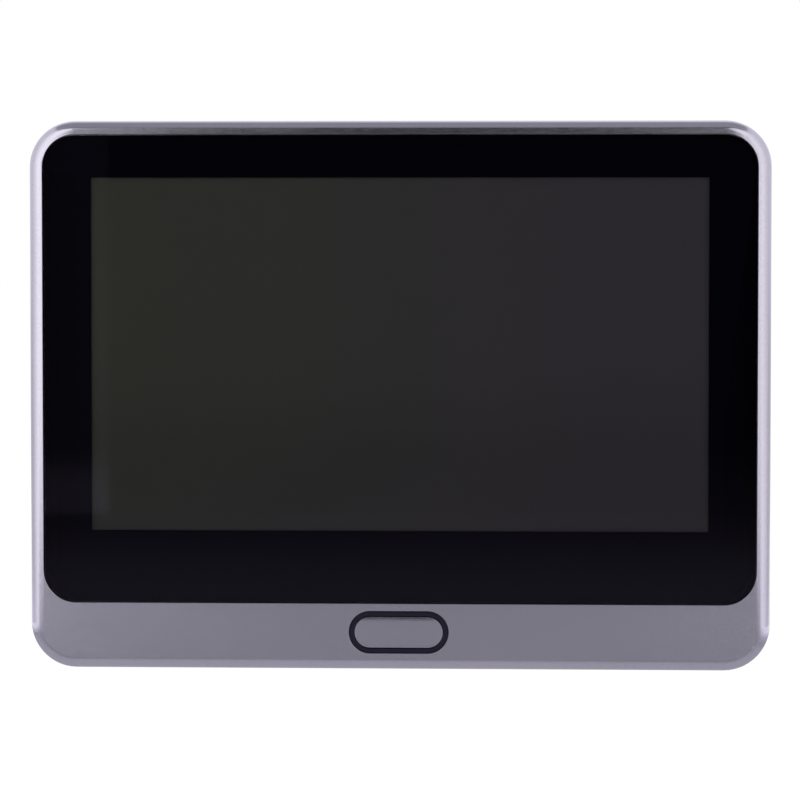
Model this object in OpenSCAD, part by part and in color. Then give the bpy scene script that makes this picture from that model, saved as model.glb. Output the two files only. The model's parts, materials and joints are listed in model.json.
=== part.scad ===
// Peephole door camera: an indoor monitor on a hook bracket, a clamp sleeve through the door
// and an outdoor camera that clamps the door from the other side.
// +X is right, +Z is up and +Y points into the door. The origin is on the peephole axis,
// at the inside face of the door. All lengths are millimetres.

/* [Door] */
// Thickness of the door that the two units clamp
door_t = 40; // [36:1:60]

/* [Monitor body] */
// Width of the indoor monitor
body_w = 114; // [102:0.5:130]
// Height of the indoor monitor
body_h = 84.4; // [76:0.2:100]
// Depth of the indoor monitor, front plane to back plane
body_d = 22; // [21:0.5:28]
// Corner radius of the monitor's outline
corner_r = 7.1; // [5:0.1:9]
// Radius of the rounded front edge
front_round = 1.65; // [1:0.05:2.1]
// Radius of the rounded rear edge
rear_round = 3; // [1:0.1:4]
// Wall thickness of both monitor mouldings
wall = 1.8; // [1.4:0.1:2.2]
// Width of the painted rim beside and above the glass
rim_w = 2.1; // [2.1:0.1:3]
// Height of the painted chin below the glass
chin_h = 10.2; // [9.5:0.1:14]
// Thickness of the chin's front wall
chin_t = 2.2; // [1.8:0.1:2.4]
// Distance that the hollow behind the chin reaches past the glass's lower edge
chin_lap = 0.6; // [0.3:0.1:0.9]
// Height of the bezel's outer wall behind its floor
skirt_h = 1.35; // [1:0.05:1.6]
// Air gap between the monitor's back and the door
rear_gap = 0.8; // [0.5:0.1:1]

/* [Glass and screen] */
// Thickness of the cover glass
glass_t = 1.1; // [0.8:0.1:1.4]
// Gap around the glass in its pocket
glass_gap = 0.1; // [0.05:0.05:0.3]
// Thickness of the printed border behind the glass
border_t = 0.15; // [0.1:0.05:0.3]
// Thickness of the mounting tape behind the border
tape_t = 0.3; // [0.2:0.05:0.5]
// Distance from the glass edge to the tape
tape_in = 0.2; // [0.1:0.1:0.6]
// Distance from the glass's side edges to the clear window
window_side = 7.4; // [6.2:0.1:14]
// Distance from the glass's top edge to the clear window
window_top = 6.6; // [5:0.1:8]
// Distance from the glass's bottom edge to the clear window
window_low = 11.15; // [10.9:0.05:16]
// Distance that the screen module reaches past the window's sides
panel_side = 5.25; // [4:0.05:5.5]
// Distance that the screen module reaches past the window's top
panel_top = 3.5; // [2.5:0.1:3.8]
// Distance that the screen module reaches past the window's bottom
panel_low = 9.3; // [6:0.1:9.7]
// Corner radius of the screen module
panel_r = 1; // [0.5:0.1:2]
// Gap around the screen module in its pocket
panel_gap = 0.2; // [0.1:0.05:0.4]
// Thickness of the screen's glass cell
panel_t = 1.3; // [1:0.1:1.6]
// Thickness of the backlight tray
tray_t = 1.6; // [1.2:0.1:2]
// Thickness of the bezel floor that carries the screen
floor_t = 1.2; // [1:0.1:1.6]
// Width of the screen's ribbon
flex_w = 20; // [12:1:24]
// Thickness of the screen's ribbon
flex_t = 0.3; // [0.2:0.05:0.4]
// Sideways place of the screen's ribbon
flex_x = 13; // [8:0.5:24]
// Height of the screen's ribbon above the bottom of the screen pocket
flex_rise = 4; // [3.5:0.1:6]

/* [Power button] */
// Width of the black ring around the button
ring_w = 15.2; // [13:0.1:18]
// Height of the black ring around the button
ring_h = 6.35; // [5.8:0.05:6.6]
// Visible width of the ring, its running gap included
ring_band = 0.75; // [0.6:0.05:1]
// Gap between the ring and the hole in the chin
ring_fit = 0.05; // [0.03:0.01:0.1]
// Overhang and thickness of the ring's rear flange
ring_lip = 0.4; // [0.3:0.05:0.5]
// Gap between the ring's flange and the bottom wall
button_rise = 0.4; // [0.05:0.01:0.6]
// Running gap around the button cap
cap_gap = 0.1; // [0.08:0.01:0.2]
// Depth of the cap's face below the front plane
cap_sink = 0.12; // [0.05:0.01:0.3]
// Thickness of the cap's retaining flange
cap_flange_t = 0.9; // [0.7:0.1:1]
// Travel of the power button
button_travel = 0.5; // [0.3:0.05:0.6]
// Height of a push switch's case
switch_h = 2; // [1.6:0.1:2]
// Width of a push switch's case
switch_w = 6; // [5:0.5:7]
// Diameter of a push switch's plunger
plunger_d = 1.8; // [1.4:0.1:2.4]
// Running gap around a plunger
plunger_gap = 0.1; // [0.05:0.01:0.2]

/* [Monitor inside] */
// Distance from the bezel floor to the main board
board_gap = 2.35; // [2.2:0.05:3]
// Thickness of the circuit boards
board_t = 1.2; // [0.8:0.1:1.6]
// Gap from the main board to the top wall
board_top = 8.4; // [7:0.1:10]
// Gap from the main board to the side wall
board_edge = 1.7; // [1:0.1:3]
// Distance that the main board reaches past the ribbon socket, towards the battery
board_past = 7.3; // [5:0.1:9]
// Width of the board's tongue behind the chin
tongue_w = 33; // [28:0.5:36]
// Gap from the tongue to the bottom wall
tongue_edge = 1; // [0.5:0.1:2]
// Thickness of the battery
batt_t = 8.2; // [6:0.1:9]
// Gap from the battery to the side wall
batt_edge = 2.2; // [1.5:0.1:2.4]
// Gap between the battery and the bosses above it
batt_boss = 0.5; // [0.3:0.1:4]
// Gap between the battery and the hollow behind the chin
batt_chin = 1.1; // [0.3:0.1:6]
// Thickness of the battery's tape
batt_tape_t = 0.3; // [0.2:0.05:0.5]
// Gap between the battery and the main board
batt_board = 3; // [2:0.1:4]
// Length of the charging port
usb_l = 8.2; // [7:0.1:9]
// Width of the charging port
usb_w = 8.9; // [8.8:0.1:9.2]
// Height of the charging port
usb_h = 3.2; // [3.1:0.05:3.4]
// Wall thickness of the charging port
usb_wall = 0.3; // [0.2:0.05:0.4]
// Distance from the main board's top edge to the charging port's middle
usb_drop = 12; // [11:0.1:14]
// Distance that the charging port stands past the board
usb_out = 1.1; // [0.8:0.1:1.3]
// Length of the card socket
card_l = 14; // [13:0.5:16]
// Width of the card socket
card_w = 14; // [12:0.5:15]
// Height of the card socket
card_h = 1.6; // [1.4:0.1:2]
// Height of the card socket's middle above the peephole axis
card_z = 2; // [0:0.5:4]
// Gap around the port openings in the side wall
port_gap = 0.3; // [0.2:0.05:0.5]
// Width of the speaker
speaker_w = 20; // [15:0.5:22]
// Depth of the speaker
speaker_d = 9; // [7:0.5:9.5]
// Height of the speaker
speaker_h = 6; // [4:0.5:6]
// Gap between the speaker and the corner boss beside it
speaker_boss = 3.8; // [0.5:0.1:6]
// Diameter of the microphone capsule
mic_d = 3.6; // [3:0.1:4]
// Height of the microphone capsule
mic_h = 2.2; // [1.5:0.1:3]
// Wall thickness of the microphone's rubber boot
boot_t = 0.5; // [0.4:0.05:0.7]
// Sideways place of the microphone
mic_x = -20; // [-40:0.5:-16]
// Diameter of a sound hole
sound_d = 1.2; // [0.8:0.1:1.6]

/* [Screws] */
// Distance from the outline to the housing screws, both ways
boss_in = 6.2; // [5.6:0.1:6.4]
// Diameter of the bosses and columns of the housing screws
boss_d = 6; // [5.4:0.1:6.2]
// Height of the bosses above the bezel floor
boss_h = 5; // [4:0.25:6]
// Shank diameter of the housing screws
screw_d = 2; // [1.6:0.1:2.2]
// Head diameter of the housing screws
head_d = 3.8; // [3:0.1:4]
// Head height of the housing screws
head_h = 1.4; // [1:0.1:2]
// Thickness of plastic under a screw head
seat_t = 2; // [1.5:0.1:3]
// Gap around a screw's shank and head
screw_gap = 0.2; // [0.1:0.05:0.3]
// Gap between a screw's thread and its pilot hole
thread_gap = 0.05; // [0.03:0.01:0.1]
// Shank diameter of the board screws
small_d = 1.6; // [1.4:0.1:1.8]
// Head diameter of the board screws
small_head_d = 3.2; // [2.6:0.1:3.4]
// Head height of the board screws
small_head_h = 1.1; // [0.8:0.1:1.4]
// Distance from the board's edge to its screws
board_screw_in = 3.5; // [3:0.1:4]
// Diameter of the posts under the circuit boards
post_d = 4.6; // [4:0.1:5]
// Gap between the lower posts and the hollow behind the chin
post_edge = 0.8; // [0.3:0.1:2]

/* [Port cover] */
// Distance that the port cover reaches past the charging port
cover_past = 2.55; // [1.5:0.05:3.5]
// Width of the port cover
cover_w = 6.4; // [5.6:0.1:6.4]
// Thickness of the port cover
cover_t = 0.9; // [0.7:0.05:1.1]
// Gap around the port cover
cover_gap = 0.12; // [0.08:0.01:0.2]
// Height of the cover's hinge above the peephole axis
hinge_z = -8; // [-9:0.5:-7]

/* [Bracket] */
// Width of the bracket plate
plate_w = 80; // [74:0.5:82]
// Height of the bracket plate
plate_h = 54; // [48:0.5:54]
// Thickness of the bracket's steel
plate_t = 1.2; // [1:0.1:1.5]
// Corner radius of the bracket plate
plate_r = 4; // [2:0.5:6]
// Thickness of the foam pad behind the bracket
pad_t = 1; // [0.9:0.1:1.2]
// Gap between the bracket plate and the recess floor
recess_gap = 0.4; // [0.3:0.05:0.6]
// Gap around the bracket plate in its recess
recess_edge = 0.5; // [0.4:0.1:1]
// Distance that the monitor lifts to leave the hooks
lift = 5; // [4.6:0.1:5]
// Sideways place of the hooks
hook_x = 30; // [24:0.5:33]
// Upward and downward place of the hooks
hook_z = 17; // [15:0.5:18]
// Width of a hook
hook_w = 8; // [6:0.5:9]
// Height of a hook's neck
neck_h = 3; // [2:0.1:3.5]
// Height of a hook's finger above its neck
finger_h = 4; // [3:0.1:4]
// Thickness of a hook's finger
finger_t = 1.4; // [1:0.1:1.6]
// Gap between a hook's finger and the housing wall
finger_gap = 0.3; // [0.2:0.05:0.5]
// Gap between a hook's neck and the slot that hangs on it
hang_gap = 0.2; // [0.1:0.05:0.3]
// Gap at the sides and the bottom of a hook slot
slot_gap = 0.5; // [0.3:0.1:0.8]
// Diameter of the two screw holes in the bracket
door_hole_d = 4.2; // [3.5:0.1:5]
// Distance between the two screw holes
door_hole_x = 48; // [40:1:52]
// Width of the release notch under the monitor
notch_w = 9.8; // [8:0.1:14]
// Length of the release notch from the monitor's back
notch_l = 8; // [5:0.5:10]
// Depth of the release notch into the bottom wall
notch_d = 0.9; // [0.5:0.1:1]

/* [Clamp sleeve] */
// Outer diameter of the sleeve in the door's hole
sleeve_d = 15.6; // [14.8:0.1:16.4]
// Length of the sleeve inside the door
sleeve_l = 32; // [24:0.5:32]
// Diameter of the shoulder that passes the bracket
shoulder_d = 17; // [16.6:0.1:18]
// Gap between the shoulder and the bracket's hole
shoulder_gap = 0.15; // [0.1:0.05:0.3]
// Diameter of the sleeve's flange
flange_d = 24; // [21:0.5:24]
// Thickness of the sleeve's flange
flange_t = 2; // [1.5:0.1:2.5]
// Width of the coin slot in the flange
coin_w = 2.2; // [1.5:0.1:3]
// Depth of the coin slot in the flange
coin_d = 1; // [0.6:0.1:1.2]
// Gap between the flange and the sides of its bay
bay_edge = 0.6; // [0.4:0.1:1]
// Width of the bay for the flange and the ribbon plug
bay_w = 28; // [26:0.5:28]
// Room in front of the flange for the ribbon
bay_room = 5.1; // [4.6:0.1:5.4]
// Wall thickness of the bay
bay_wall = 1.5; // [1.2:0.1:1.5]

/* [Ribbon] */
// Width of the ribbon between the two units
ribbon_w = 8; // [6:0.5:8.5]
// Thickness of the ribbon
ribbon_t = 0.4; // [0.3:0.05:0.5]
// Height of the ribbon plug above the peephole axis
plug_z = 7; // [5:0.5:8]
// Width of the ribbon plug
plug_w = 10; // [9:0.5:11]
// Height of the ribbon plug
plug_h = 3.4; // [3:0.1:3.6]
// Distance that the plug stands out of the bay floor
plug_out = 2; // [1.5:0.1:2.2]
// Wall thickness of the ribbon socket
socket_t = 0.6; // [0.4:0.1:0.8]
// Gap around the plug and the socket
plug_gap = 0.1; // [0.08:0.01:0.2]

/* [Camera] */
// Outer diameter of the outdoor camera
cam_d = 62; // [60:0.5:72]
// Depth of the outdoor housing without its gasket
cam_l = 16.5; // [16:0.5:24]
// Rounding of the outdoor housing's front edge
cam_round = 2; // [1:0.1:2.4]
// Wall of the outdoor housing beside the face
cam_wall = 3; // [2.5:0.1:3.2]
// Thickness of the outdoor housing's back
cam_back = 2.5; // [2:0.1:3]
// Diameter of the outdoor gasket
gasket_d = 58; // [50:0.5:59]
// Thickness of the outdoor gasket
gasket_t = 1.5; // [1:0.1:2.5]
// Gap between the tail and the hole in the gasket
gasket_gap = 0.7; // [0.4:0.1:1.5]
// Thickness of the black face
face_t = 2; // [1.8:0.1:2.6]
// Depth of the face below the housing's rim
face_sink = 0.5; // [0.2:0.1:1]
// Gap around the face
face_gap = 0.15; // [0.1:0.05:0.3]
// Width of the seal behind the face
seal_w = 1.5; // [1:0.1:1.8]
// Thickness of the seal behind the face
seal_t = 0.5; // [0.3:0.1:0.8]
// Height of the camera board above the housing's back
cam_board_gap = 3; // [2.8:0.1:3.6]
// Gap around the camera board
cam_board_edge = 1.5; // [1:0.1:2]
// Distance from the camera board's edge to its screws
cam_screw_in = 3.5; // [3:0.1:4.5]

/* [Camera tail] */
// Outer diameter of the tail tube
tail_d = 12.6; // [12:0.1:13]
// Bore of the tail tube
tail_bore = 9.6; // [9.2:0.1:10]
// Length of the tail tube below its flange
tail_l = 38; // [34:0.5:38]
// Diameter of the tail's flange
tail_flange_d = 20; // [17:0.5:26]
// Thickness of the tail's flange
tail_flange_t = 1.2; // [1:0.1:1.4]
// Gap between the tail and the sleeve's bore
tail_gap = 0.1; // [0.08:0.01:0.15]

/* [Lens] */
// Distance from the face's edge to the hole for the lens window
lens_edge = 7.05; // [6.05:0.05:7.45]
// Side of the square lens holder
holder_w = 14; // [13:0.5:14]
// Height of the lens holder
holder_h = 4.2; // [3.5:0.1:4.6]
// Outer diameter of the lens barrel
barrel_d = 10; // [9:0.1:10.5]
// Bore of the lens barrel
barrel_bore = 7; // [6:0.1:7.4]
// Gap between the barrel and its holder
barrel_gap = 0.1; // [0.05:0.01:0.2]
// Gap between the barrel and the window behind which it looks out
barrel_clear = 0.4; // [0.3:0.1:0.8]
// Side of the square image sensor
sensor_w = 6; // [5:0.1:6.2]
// Height of the image sensor
sensor_h = 0.8; // [0.6:0.1:1]
// Thickness of the lens element
element_t = 2; // [1.5:0.1:2.5]
// Diameter of the hole for the lens window
lens_window_d = 15.6; // [14:0.1:15.8]
// Thickness of the lens window
lens_window_t = 1.2; // [0.8:0.1:1.4]
// Width of the ledge under the lens window
window_ledge = 1.4; // [1:0.1:2]
// Diameter of the motion sensor's dome
pir_d = 6.4; // [5.6:0.1:6.6]
// Thickness and overhang of the dome's flange
pir_lip = 0.5; // [0.4:0.1:0.6]
// Diameter of the motion sensor's can
can_d = 8; // [7:0.1:8.4]
// Height of the motion sensor's can
can_h = 4.6; // [3:0.1:5]
// Diameter of the infrared lamps
led_d = 3; // [2.5:0.1:3.2]
// Height of the infrared lamps
led_h = 4.4; // [3:0.1:5]
// Sideways distance of the lamps from the lens
led_x = 11; // [10:0.1:11.5]
// Upward and downward distance of the lamps from the lens
led_z = 4; // [3:0.1:5]

/* [Bell button] */
// Diameter of the bell button
bell_d = 17; // [15:0.1:17]
// Distance from the face's edge to the light ring
bell_edge = 2.75; // [2.4:0.05:2.95]
// Width of the light ring around the bell button
bell_ring_w = 1.8; // [1.4:0.1:1.8]
// Running gap around the bell button
bell_gap = 0.2; // [0.15:0.01:0.3]
// Thickness and overhang of the light ring's flange
bell_lip = 0.7; // [0.5:0.1:0.8]
// Distance that the bell button stands proud of the face
bell_proud = 0.6; // [0.2:0.1:1]
// Travel of the bell button
bell_travel = 0.8; // [0.5:0.1:0.9]
// Diameter of the outdoor speaker
cam_speaker_d = 12.6; // [10:0.1:13]
// Thickness of the outdoor speaker
cam_speaker_t = 4.4; // [3:0.1:5]
// Distance from the face's edge to the middle of the outdoor speaker and microphone
sound_edge = 10.35; // [9.85:0.05:10.85]
// Depth of the outdoor speaker and microphone below the axis
sound_drop = 4; // [3:0.1:5]

/* [Hidden] */
$fn = 64;
// Overrun of a cut past a face
cut = 0.5;
// Fine fit where a solid only lies against its neighbour
lay = 0.02;

// Planes along the depth of the monitor
front_y = -rear_gap - body_d;
pocket_d = glass_t + border_t + tape_t;
tray_d = pocket_d + panel_t;
floor_d = tray_d + tray_t;
floor_back_d = floor_d + floor_t;
parting_d = floor_back_d + skirt_h;
board_d = floor_back_d + board_gap;
board_back_d = board_d + board_t;
boss_top_d = floor_back_d + boss_h;
parting_y = front_y + parting_d;
board_y = front_y + board_d;
board_back_y = front_y + board_back_d;
floor_back_y = front_y + floor_back_d;
boss_top_y = front_y + boss_top_d;
back_in_y = -rear_gap - wall;

// Heights on the monitor's front
top_z = body_h / 2;
bottom_in_z = -top_z + wall;
glass_w = body_w - 2 * rim_w;
glass_top_z = top_z - rim_w;
glass_low_z = -top_z + chin_h;
glass_h = glass_top_z - glass_low_z;
glass_mid_z = (glass_top_z + glass_low_z) / 2;
glass_r = corner_r - rim_w;
window_w = glass_w - 2 * window_side;
window_h = glass_h - window_top - window_low;
window_top_z = glass_top_z - window_top;
window_mid_z = window_top_z - window_h / 2;
panel_w = window_w + 2 * panel_side;
panel_h = window_h + panel_top + panel_low;
panel_mid_z = window_top_z + panel_top - panel_h / 2;
pocket_low_z = panel_mid_z - panel_h / 2 - panel_gap;
chin_top_z = glass_low_z + chin_lap;
button_z = bottom_in_z + button_rise + ring_lip + ring_h / 2;
cap_w = ring_w - 2 * ring_band;
cap_h = ring_h - 2 * ring_band;
inner_w = body_w - 2 * wall;
inner_h = body_h - 2 * wall;
inner_r = corner_r - wall;

// Depths of the power button's pieces
cap_flange_d = chin_t + ring_lip + cap_gap;
cap_back_d = cap_flange_d + cap_flange_t;
switch_d = board_d - switch_h;
plunger_top_d = switch_d - button_travel - plunger_gap;

// Places of the screws that close the monitor
boss_x = body_w / 2 - boss_in;
boss_z = top_z - boss_in;
CORNERS = [for (sx = [-1, 1], sz = [-1, 1]) [sx, sz]];
pilot_left = 0.5;

// Places of the main board and the battery
socket_w = plug_w + 2 * plug_gap + 2 * socket_t;
socket_h = plug_h + 2 * plug_gap + 2 * socket_t;
board_x0 = -socket_w / 2 - board_past;
board_x1 = inner_w / 2 - board_edge;
post_low_z = chin_top_z + post_edge + post_d / 2;
board_low_z = post_low_z - board_screw_in;
board_top_z = inner_h / 2 - board_top;
post_top_z = board_top_z - board_screw_in;
BOARD_POSTS = [
    for (x = [board_x0 + board_screw_in, board_x1 - board_screw_in], z = [post_low_z, post_top_z])
        [x, z]
];
tongue_z = bottom_in_z + tongue_edge;
batt_x0 = -inner_w / 2 + batt_edge;
batt_x1 = board_x0 - batt_board;
batt_w = batt_x1 - batt_x0;
batt_top_z = boss_z - boss_d / 2 - batt_boss;
batt_low_z = chin_top_z + batt_chin;
batt_h = batt_top_z - batt_low_z;
batt_mid = [(batt_x0 + batt_x1) / 2, 0, (batt_top_z + batt_low_z) / 2];
flex_z = pocket_low_z + flex_rise;
flex_run = 7;
flex_plug_h = 3.5;
flex_plug_t = board_gap / 2;
flex_slot = 1;
speaker_x = boss_x - boss_d / 2 - speaker_boss - speaker_w / 2;
mic_y = front_y + chin_t + cap_gap + mic_d / 2 + boot_t;
shield_h = 28;
shield_t = 2.2;
shield_wall = 0.3;
shield_edge = 1.5;
shield_x = bay_w / 2 + bay_wall + shield_edge;
shield_w = board_x1 - card_l - shield_edge - shield_x;
lead_drop = 9;
lead_z = board_top_z - lead_drop;
lead_d = 1.2;
lead_pitch = 2;
lead_plug = [4, 5, 2.6];
lead_edge = 0.8;
antenna_w = 30;
antenna_h = 6;
antenna_t = 0.2;

// Places of the ports in the right side wall
side_x = body_w / 2;
usb_mid_y = board_back_y + usb_h / 2;
usb_z = board_top_z - usb_drop;
cover_h = usb_z + usb_w / 2 + cover_past - hinge_z;
hinge_x = side_x - cover_t / 2;
card_mid_y = board_back_y + card_h / 2;

// Planes of the bracket and of the recess that takes it
plate_y = -pad_t - plate_t;
recess_y = plate_y - recess_gap;
recess_in_y = recess_y - wall;
finger_y = recess_in_y - finger_gap;
hook_y = finger_y - finger_t;
flange_y = plate_y - flange_t;
bay_y = flange_y - bay_room;
bay_in_y = bay_y - bay_wall;
recess_w = plate_w + 2 * recess_edge;
recess_h = plate_h + lift + 2 * recess_edge;
recess_r = plate_r + recess_edge;
bay_top_z = flange_d / 2 + bay_edge;
bay_low_z = -flange_d / 2 - lift - bay_edge;
HOOKS = [for (c = CORNERS) [c[0] * hook_x, c[1] * hook_z]];

// Planes of the ribbon plug and its socket
socket_y = bay_in_y - 2 * plug_gap;
plug_y = board_back_y + socket_t + plug_gap;
plug_top_y = bay_y + plug_out;
ribbon_bend_y = (flange_y + plug_top_y) / 2;

// Planes and radii of the outdoor camera
cam_y = door_t + gasket_t;
cam_front_y = cam_y + cam_l;
cam_floor_y = cam_y + cam_back;
face_y = cam_front_y - face_sink - face_t;
face_front_y = face_y + face_t;
cam_board_y = cam_floor_y + cam_board_gap;
cam_board_front_y = cam_board_y + board_t;
face_pocket_r = cam_d / 2 - cam_wall;
face_r = face_pocket_r - face_gap;
cavity_r = face_pocket_r - seal_w;
cam_board_r = cavity_r - cam_board_edge;
cam_screw_r = cam_board_r - cam_screw_in;
cam_screw_turn = 30;
cam_screw_count = 3;
CAM_SCREWS = [
    for (i = [1:cam_screw_count]) let (a = cam_screw_turn + i * 360 / cam_screw_count)
        cam_screw_r * [cos(a), sin(a)]
];
tail_y = cam_floor_y - tail_l;
sleeve_bore = tail_d + 2 * tail_gap;
plug_seat = 0.2;
connector_h = cam_board_gap - tail_flange_t - plug_seat;
connector_w = 10;
connector_t = 4;
barrel_y = cam_board_front_y + sensor_h;
barrel_top_y = face_front_y - lens_window_t - barrel_clear;
lens_z = face_r - lens_edge - lens_window_d / 2;
sound_x = face_r - sound_edge;
bell_hole_d = bell_d + 2 * bell_gap;
bell_ring_d = bell_hole_d + 2 * bell_ring_w;
bell_z = bell_edge + bell_ring_d / 2 - face_r;
pir_z = (bell_z + bell_ring_d / 2 + lens_z - lens_window_d / 2) / 2;
bell_flange_y = face_y - bell_lip - bell_gap - bell_lip;
bell_switch_y = cam_board_front_y + switch_h;
bell_plunger_y = bell_switch_y + bell_travel + plunger_gap;
LAMPS = [for (c = CORNERS) [c[0] * led_x, lens_z + c[1] * led_z]];
sound_ring = 6;

// Shared shapes: flat outlines are drawn in X and Z and given a depth along Y.

// Gives an outline the depth t behind the plane y
module slab(y, t) {
    translate([0, y + t, 0]) rotate([90, 0, 0]) linear_extrude(t) children();
}

// Turns a profile of radius and depth about an axis along Y
module turned(y) {
    translate([0, y, 0]) rotate([-90, 0, 0]) rotate_extrude() children();
}

// Round bar along Y
module rod(y, l, d) {
    translate([0, y, 0]) rotate([-90, 0, 0]) cylinder(h = l, d = d);
}

module round_rect(w, h, r) {
    square([w - 2 * r, h], center = true);
    square([w, h - 2 * r], center = true);
    for (c = CORNERS) {
        translate([c[0] * (w / 2 - r), c[1] * (h / 2 - r)]) circle(r = r);
    }
}

module oblong(w, h) {
    square([w - h, h], center = true);
    for (s = [-1, 1]) {
        translate([s * (w - h) / 2, 0]) circle(d = h);
    }
}

module quarter(r) {
    intersection() {
        circle(r = r);
        square(r);
    }
}

// Profile of an edge rounded by e, which laps over the slabs beside and behind it
module nosing(e, lap) {
    quarter(e);
    translate([-lap, -lap]) square([lap, e + lap]);
    translate([-lap, -lap]) square([e + lap, lap]);
}

// Block with a rounded-corner outline whose front edge is rounded by e
module soft_block(w, h, d, r, e) {
    lap = e / 2;
    inset = e + lap / 2;
    slab(e, d - e) round_rect(w, h, r);
    slab(0, e + lap) round_rect(w - 2 * inset, h - 2 * inset, r - inset);
    for (i = [0:3]) {
        along = i % 2 == 0 ? w : h;
        across = i % 2 == 0 ? h : w;
        rotate([0, -90 * i, 0]) translate([r - along / 2, e, across / 2 - e])
            rotate([180, -90, 0]) linear_extrude(along - 2 * r) nosing(e, lap);
        rotate([0, -90 * i, 0]) translate([along / 2 - r, e, across / 2 - r])
            rotate([90, 0, 0]) rotate_extrude(angle = 90) translate([r - e, 0]) nosing(e, lap);
    }
}

// Pan-head screw whose head seats at y and whose shank runs towards -Y
module pan_screw(y, l, d, hd, hh) {
    turned(y - l) {
        square([d / 2, l + hh / 2]);
        translate([0, l]) intersection() {
            square([hd / 2, hh]);
            translate([0, hh - hd]) circle(r = hd);
        }
    }
}

// Push switch case with a round hole for its plunger, standing on y and facing along dir
module switch_case(y, dir) {
    difference() {
        slab(dir > 0 ? y : y - switch_h, switch_h) square(switch_w, center = true);
        rod(dir > 0 ? y + switch_h / 4 : y - switch_h - cut, switch_h * 3 / 4 + cut,
            plunger_d + 2 * plunger_gap);
    }
}

// Indoor monitor: front moulding, glass and screen

module bezel_pockets() {
    slab(front_y - cut, pocket_d + cut) translate([0, glass_mid_z])
        round_rect(glass_w, glass_h, glass_r);
    slab(front_y, floor_d) translate([0, panel_mid_z])
        round_rect(panel_w + 2 * panel_gap, panel_h + 2 * panel_gap, panel_r);
    slab(floor_back_y, skirt_h + cut) round_rect(inner_w, inner_h, inner_r);
    slab(front_y + chin_t, parting_d) intersection() {
        round_rect(inner_w, inner_h, inner_r);
        translate([-body_w / 2, -top_z]) square([body_w, chin_top_z + top_z]);
    }
}

module front_bezel() {
    color("#84838e") difference() {
        union() {
            difference() {
                translate([0, front_y, 0])
                    soft_block(body_w, body_h, parting_d, corner_r, front_round);
                bezel_pockets();
            }
            for (c = CORNERS) {
                base_d = c[1] > 0 ? floor_d : chin_t / 2;
                translate([c[0] * boss_x, 0, c[1] * boss_z])
                    rod(front_y + base_d, boss_top_d - base_d, boss_d);
            }
            for (p = BOARD_POSTS) {
                translate([p[0], 0, p[1]])
                    rod(floor_back_y - floor_t / 2, board_gap + floor_t / 2, post_d);
            }
        }
        for (c = CORNERS) {
            translate([c[0] * boss_x, 0, c[1] * boss_z])
                rod(floor_back_y + pilot_left, boss_h, screw_d + 2 * thread_gap);
        }
        for (p = BOARD_POSTS) {
            translate([p[0], 0, p[1]])
                rod(floor_back_y + pilot_left, board_gap, small_d + 2 * thread_gap);
        }
        slab(front_y - cut, chin_t + 2 * cut) translate([0, button_z])
            oblong(ring_w + 2 * ring_fit, ring_h + 2 * ring_fit);
        translate([flex_x, 0, flex_z]) slab(front_y + floor_d - cut, floor_t + 2 * cut)
            square([flex_w + 2 * flex_slot, flex_t + 2 * flex_slot], center = true);
        translate([mic_x, mic_y, -top_z - cut]) cylinder(h = wall + 2 * cut, d = sound_d);
    }
}

module cover_glass() {
    color("#0b0b0f") slab(front_y, glass_t) translate([0, glass_mid_z])
        round_rect(glass_w - 2 * glass_gap, glass_h - 2 * glass_gap, glass_r - glass_gap);
}

module glass_border() {
    color("#050507") slab(front_y + glass_t, border_t) difference() {
        translate([0, glass_mid_z])
            round_rect(glass_w - 2 * glass_gap, glass_h - 2 * glass_gap, glass_r - glass_gap);
        translate([0, window_mid_z]) square([window_w, window_h], center = true);
    }
}

module glass_tape() {
    inset = glass_gap + tape_in;
    color("#15151a") slab(front_y + glass_t + border_t, tape_t) difference() {
        translate([0, glass_mid_z])
            round_rect(glass_w - 2 * inset, glass_h - 2 * inset, glass_r - inset);
        translate([0, panel_mid_z])
            round_rect(panel_w + 2 * panel_gap, panel_h + 2 * panel_gap, panel_r);
    }
}

module lcd_panel() {
    color("#2a2a28") slab(front_y + pocket_d, panel_t) translate([0, panel_mid_z])
        round_rect(panel_w, panel_h, panel_r);
}

module lcd_backlight() {
    color("#b9bcc0") slab(front_y + tray_d, tray_t) translate([0, panel_mid_z])
        round_rect(panel_w, panel_h, panel_r);
}

module lcd_flex() {
    run_d = board_d - flex_plug_t;
    color("#c07a2c") {
        translate([flex_x, 0, flex_z]) {
            slab(front_y + floor_d, run_d - floor_d) square([flex_w, flex_t], center = true);
            slab(front_y + run_d - flex_t, flex_t) translate([-flex_w / 2, -flex_t / 2])
                square([flex_w, flex_run]);
            slab(front_y + run_d, flex_plug_t)
                translate([-flex_w / 2 - flex_slot, flex_run - flex_plug_h])
                square([flex_w + 2 * flex_slot, flex_plug_h]);
        }
    }
}

// Power button in the chin

module button_ring() {
    color("#1c1a24") translate([0, 0, button_z]) difference() {
        union() {
            slab(front_y, chin_t) oblong(ring_w, ring_h);
            slab(front_y + chin_t, ring_lip)
                oblong(ring_w + 2 * ring_lip, ring_h + 2 * ring_lip);
        }
        slab(front_y - cut, chin_t + ring_lip + 2 * cut)
            oblong(cap_w + 2 * cap_gap, cap_h + 2 * cap_gap);
    }
}

module power_button() {
    color("#77767f") translate([0, 0, button_z]) {
        slab(front_y + cap_sink, cap_back_d - cap_sink) oblong(cap_w, cap_h);
        slab(front_y + cap_flange_d, cap_flange_t)
            oblong(cap_w + 2 * ring_lip, cap_h + 2 * ring_lip);
        rod(front_y + cap_flange_d, plunger_top_d - cap_flange_d, plunger_d + 2 * ring_lip);
    }
}

module switch_plunger() {
    color("#202024") translate([0, 0, button_z])
        rod(front_y + plunger_top_d, switch_d - plunger_top_d + switch_h / 4, plunger_d);
}

module power_switch() {
    color("#c9c9cc") translate([0, 0, button_z]) switch_case(board_y, -1);
}

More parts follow.
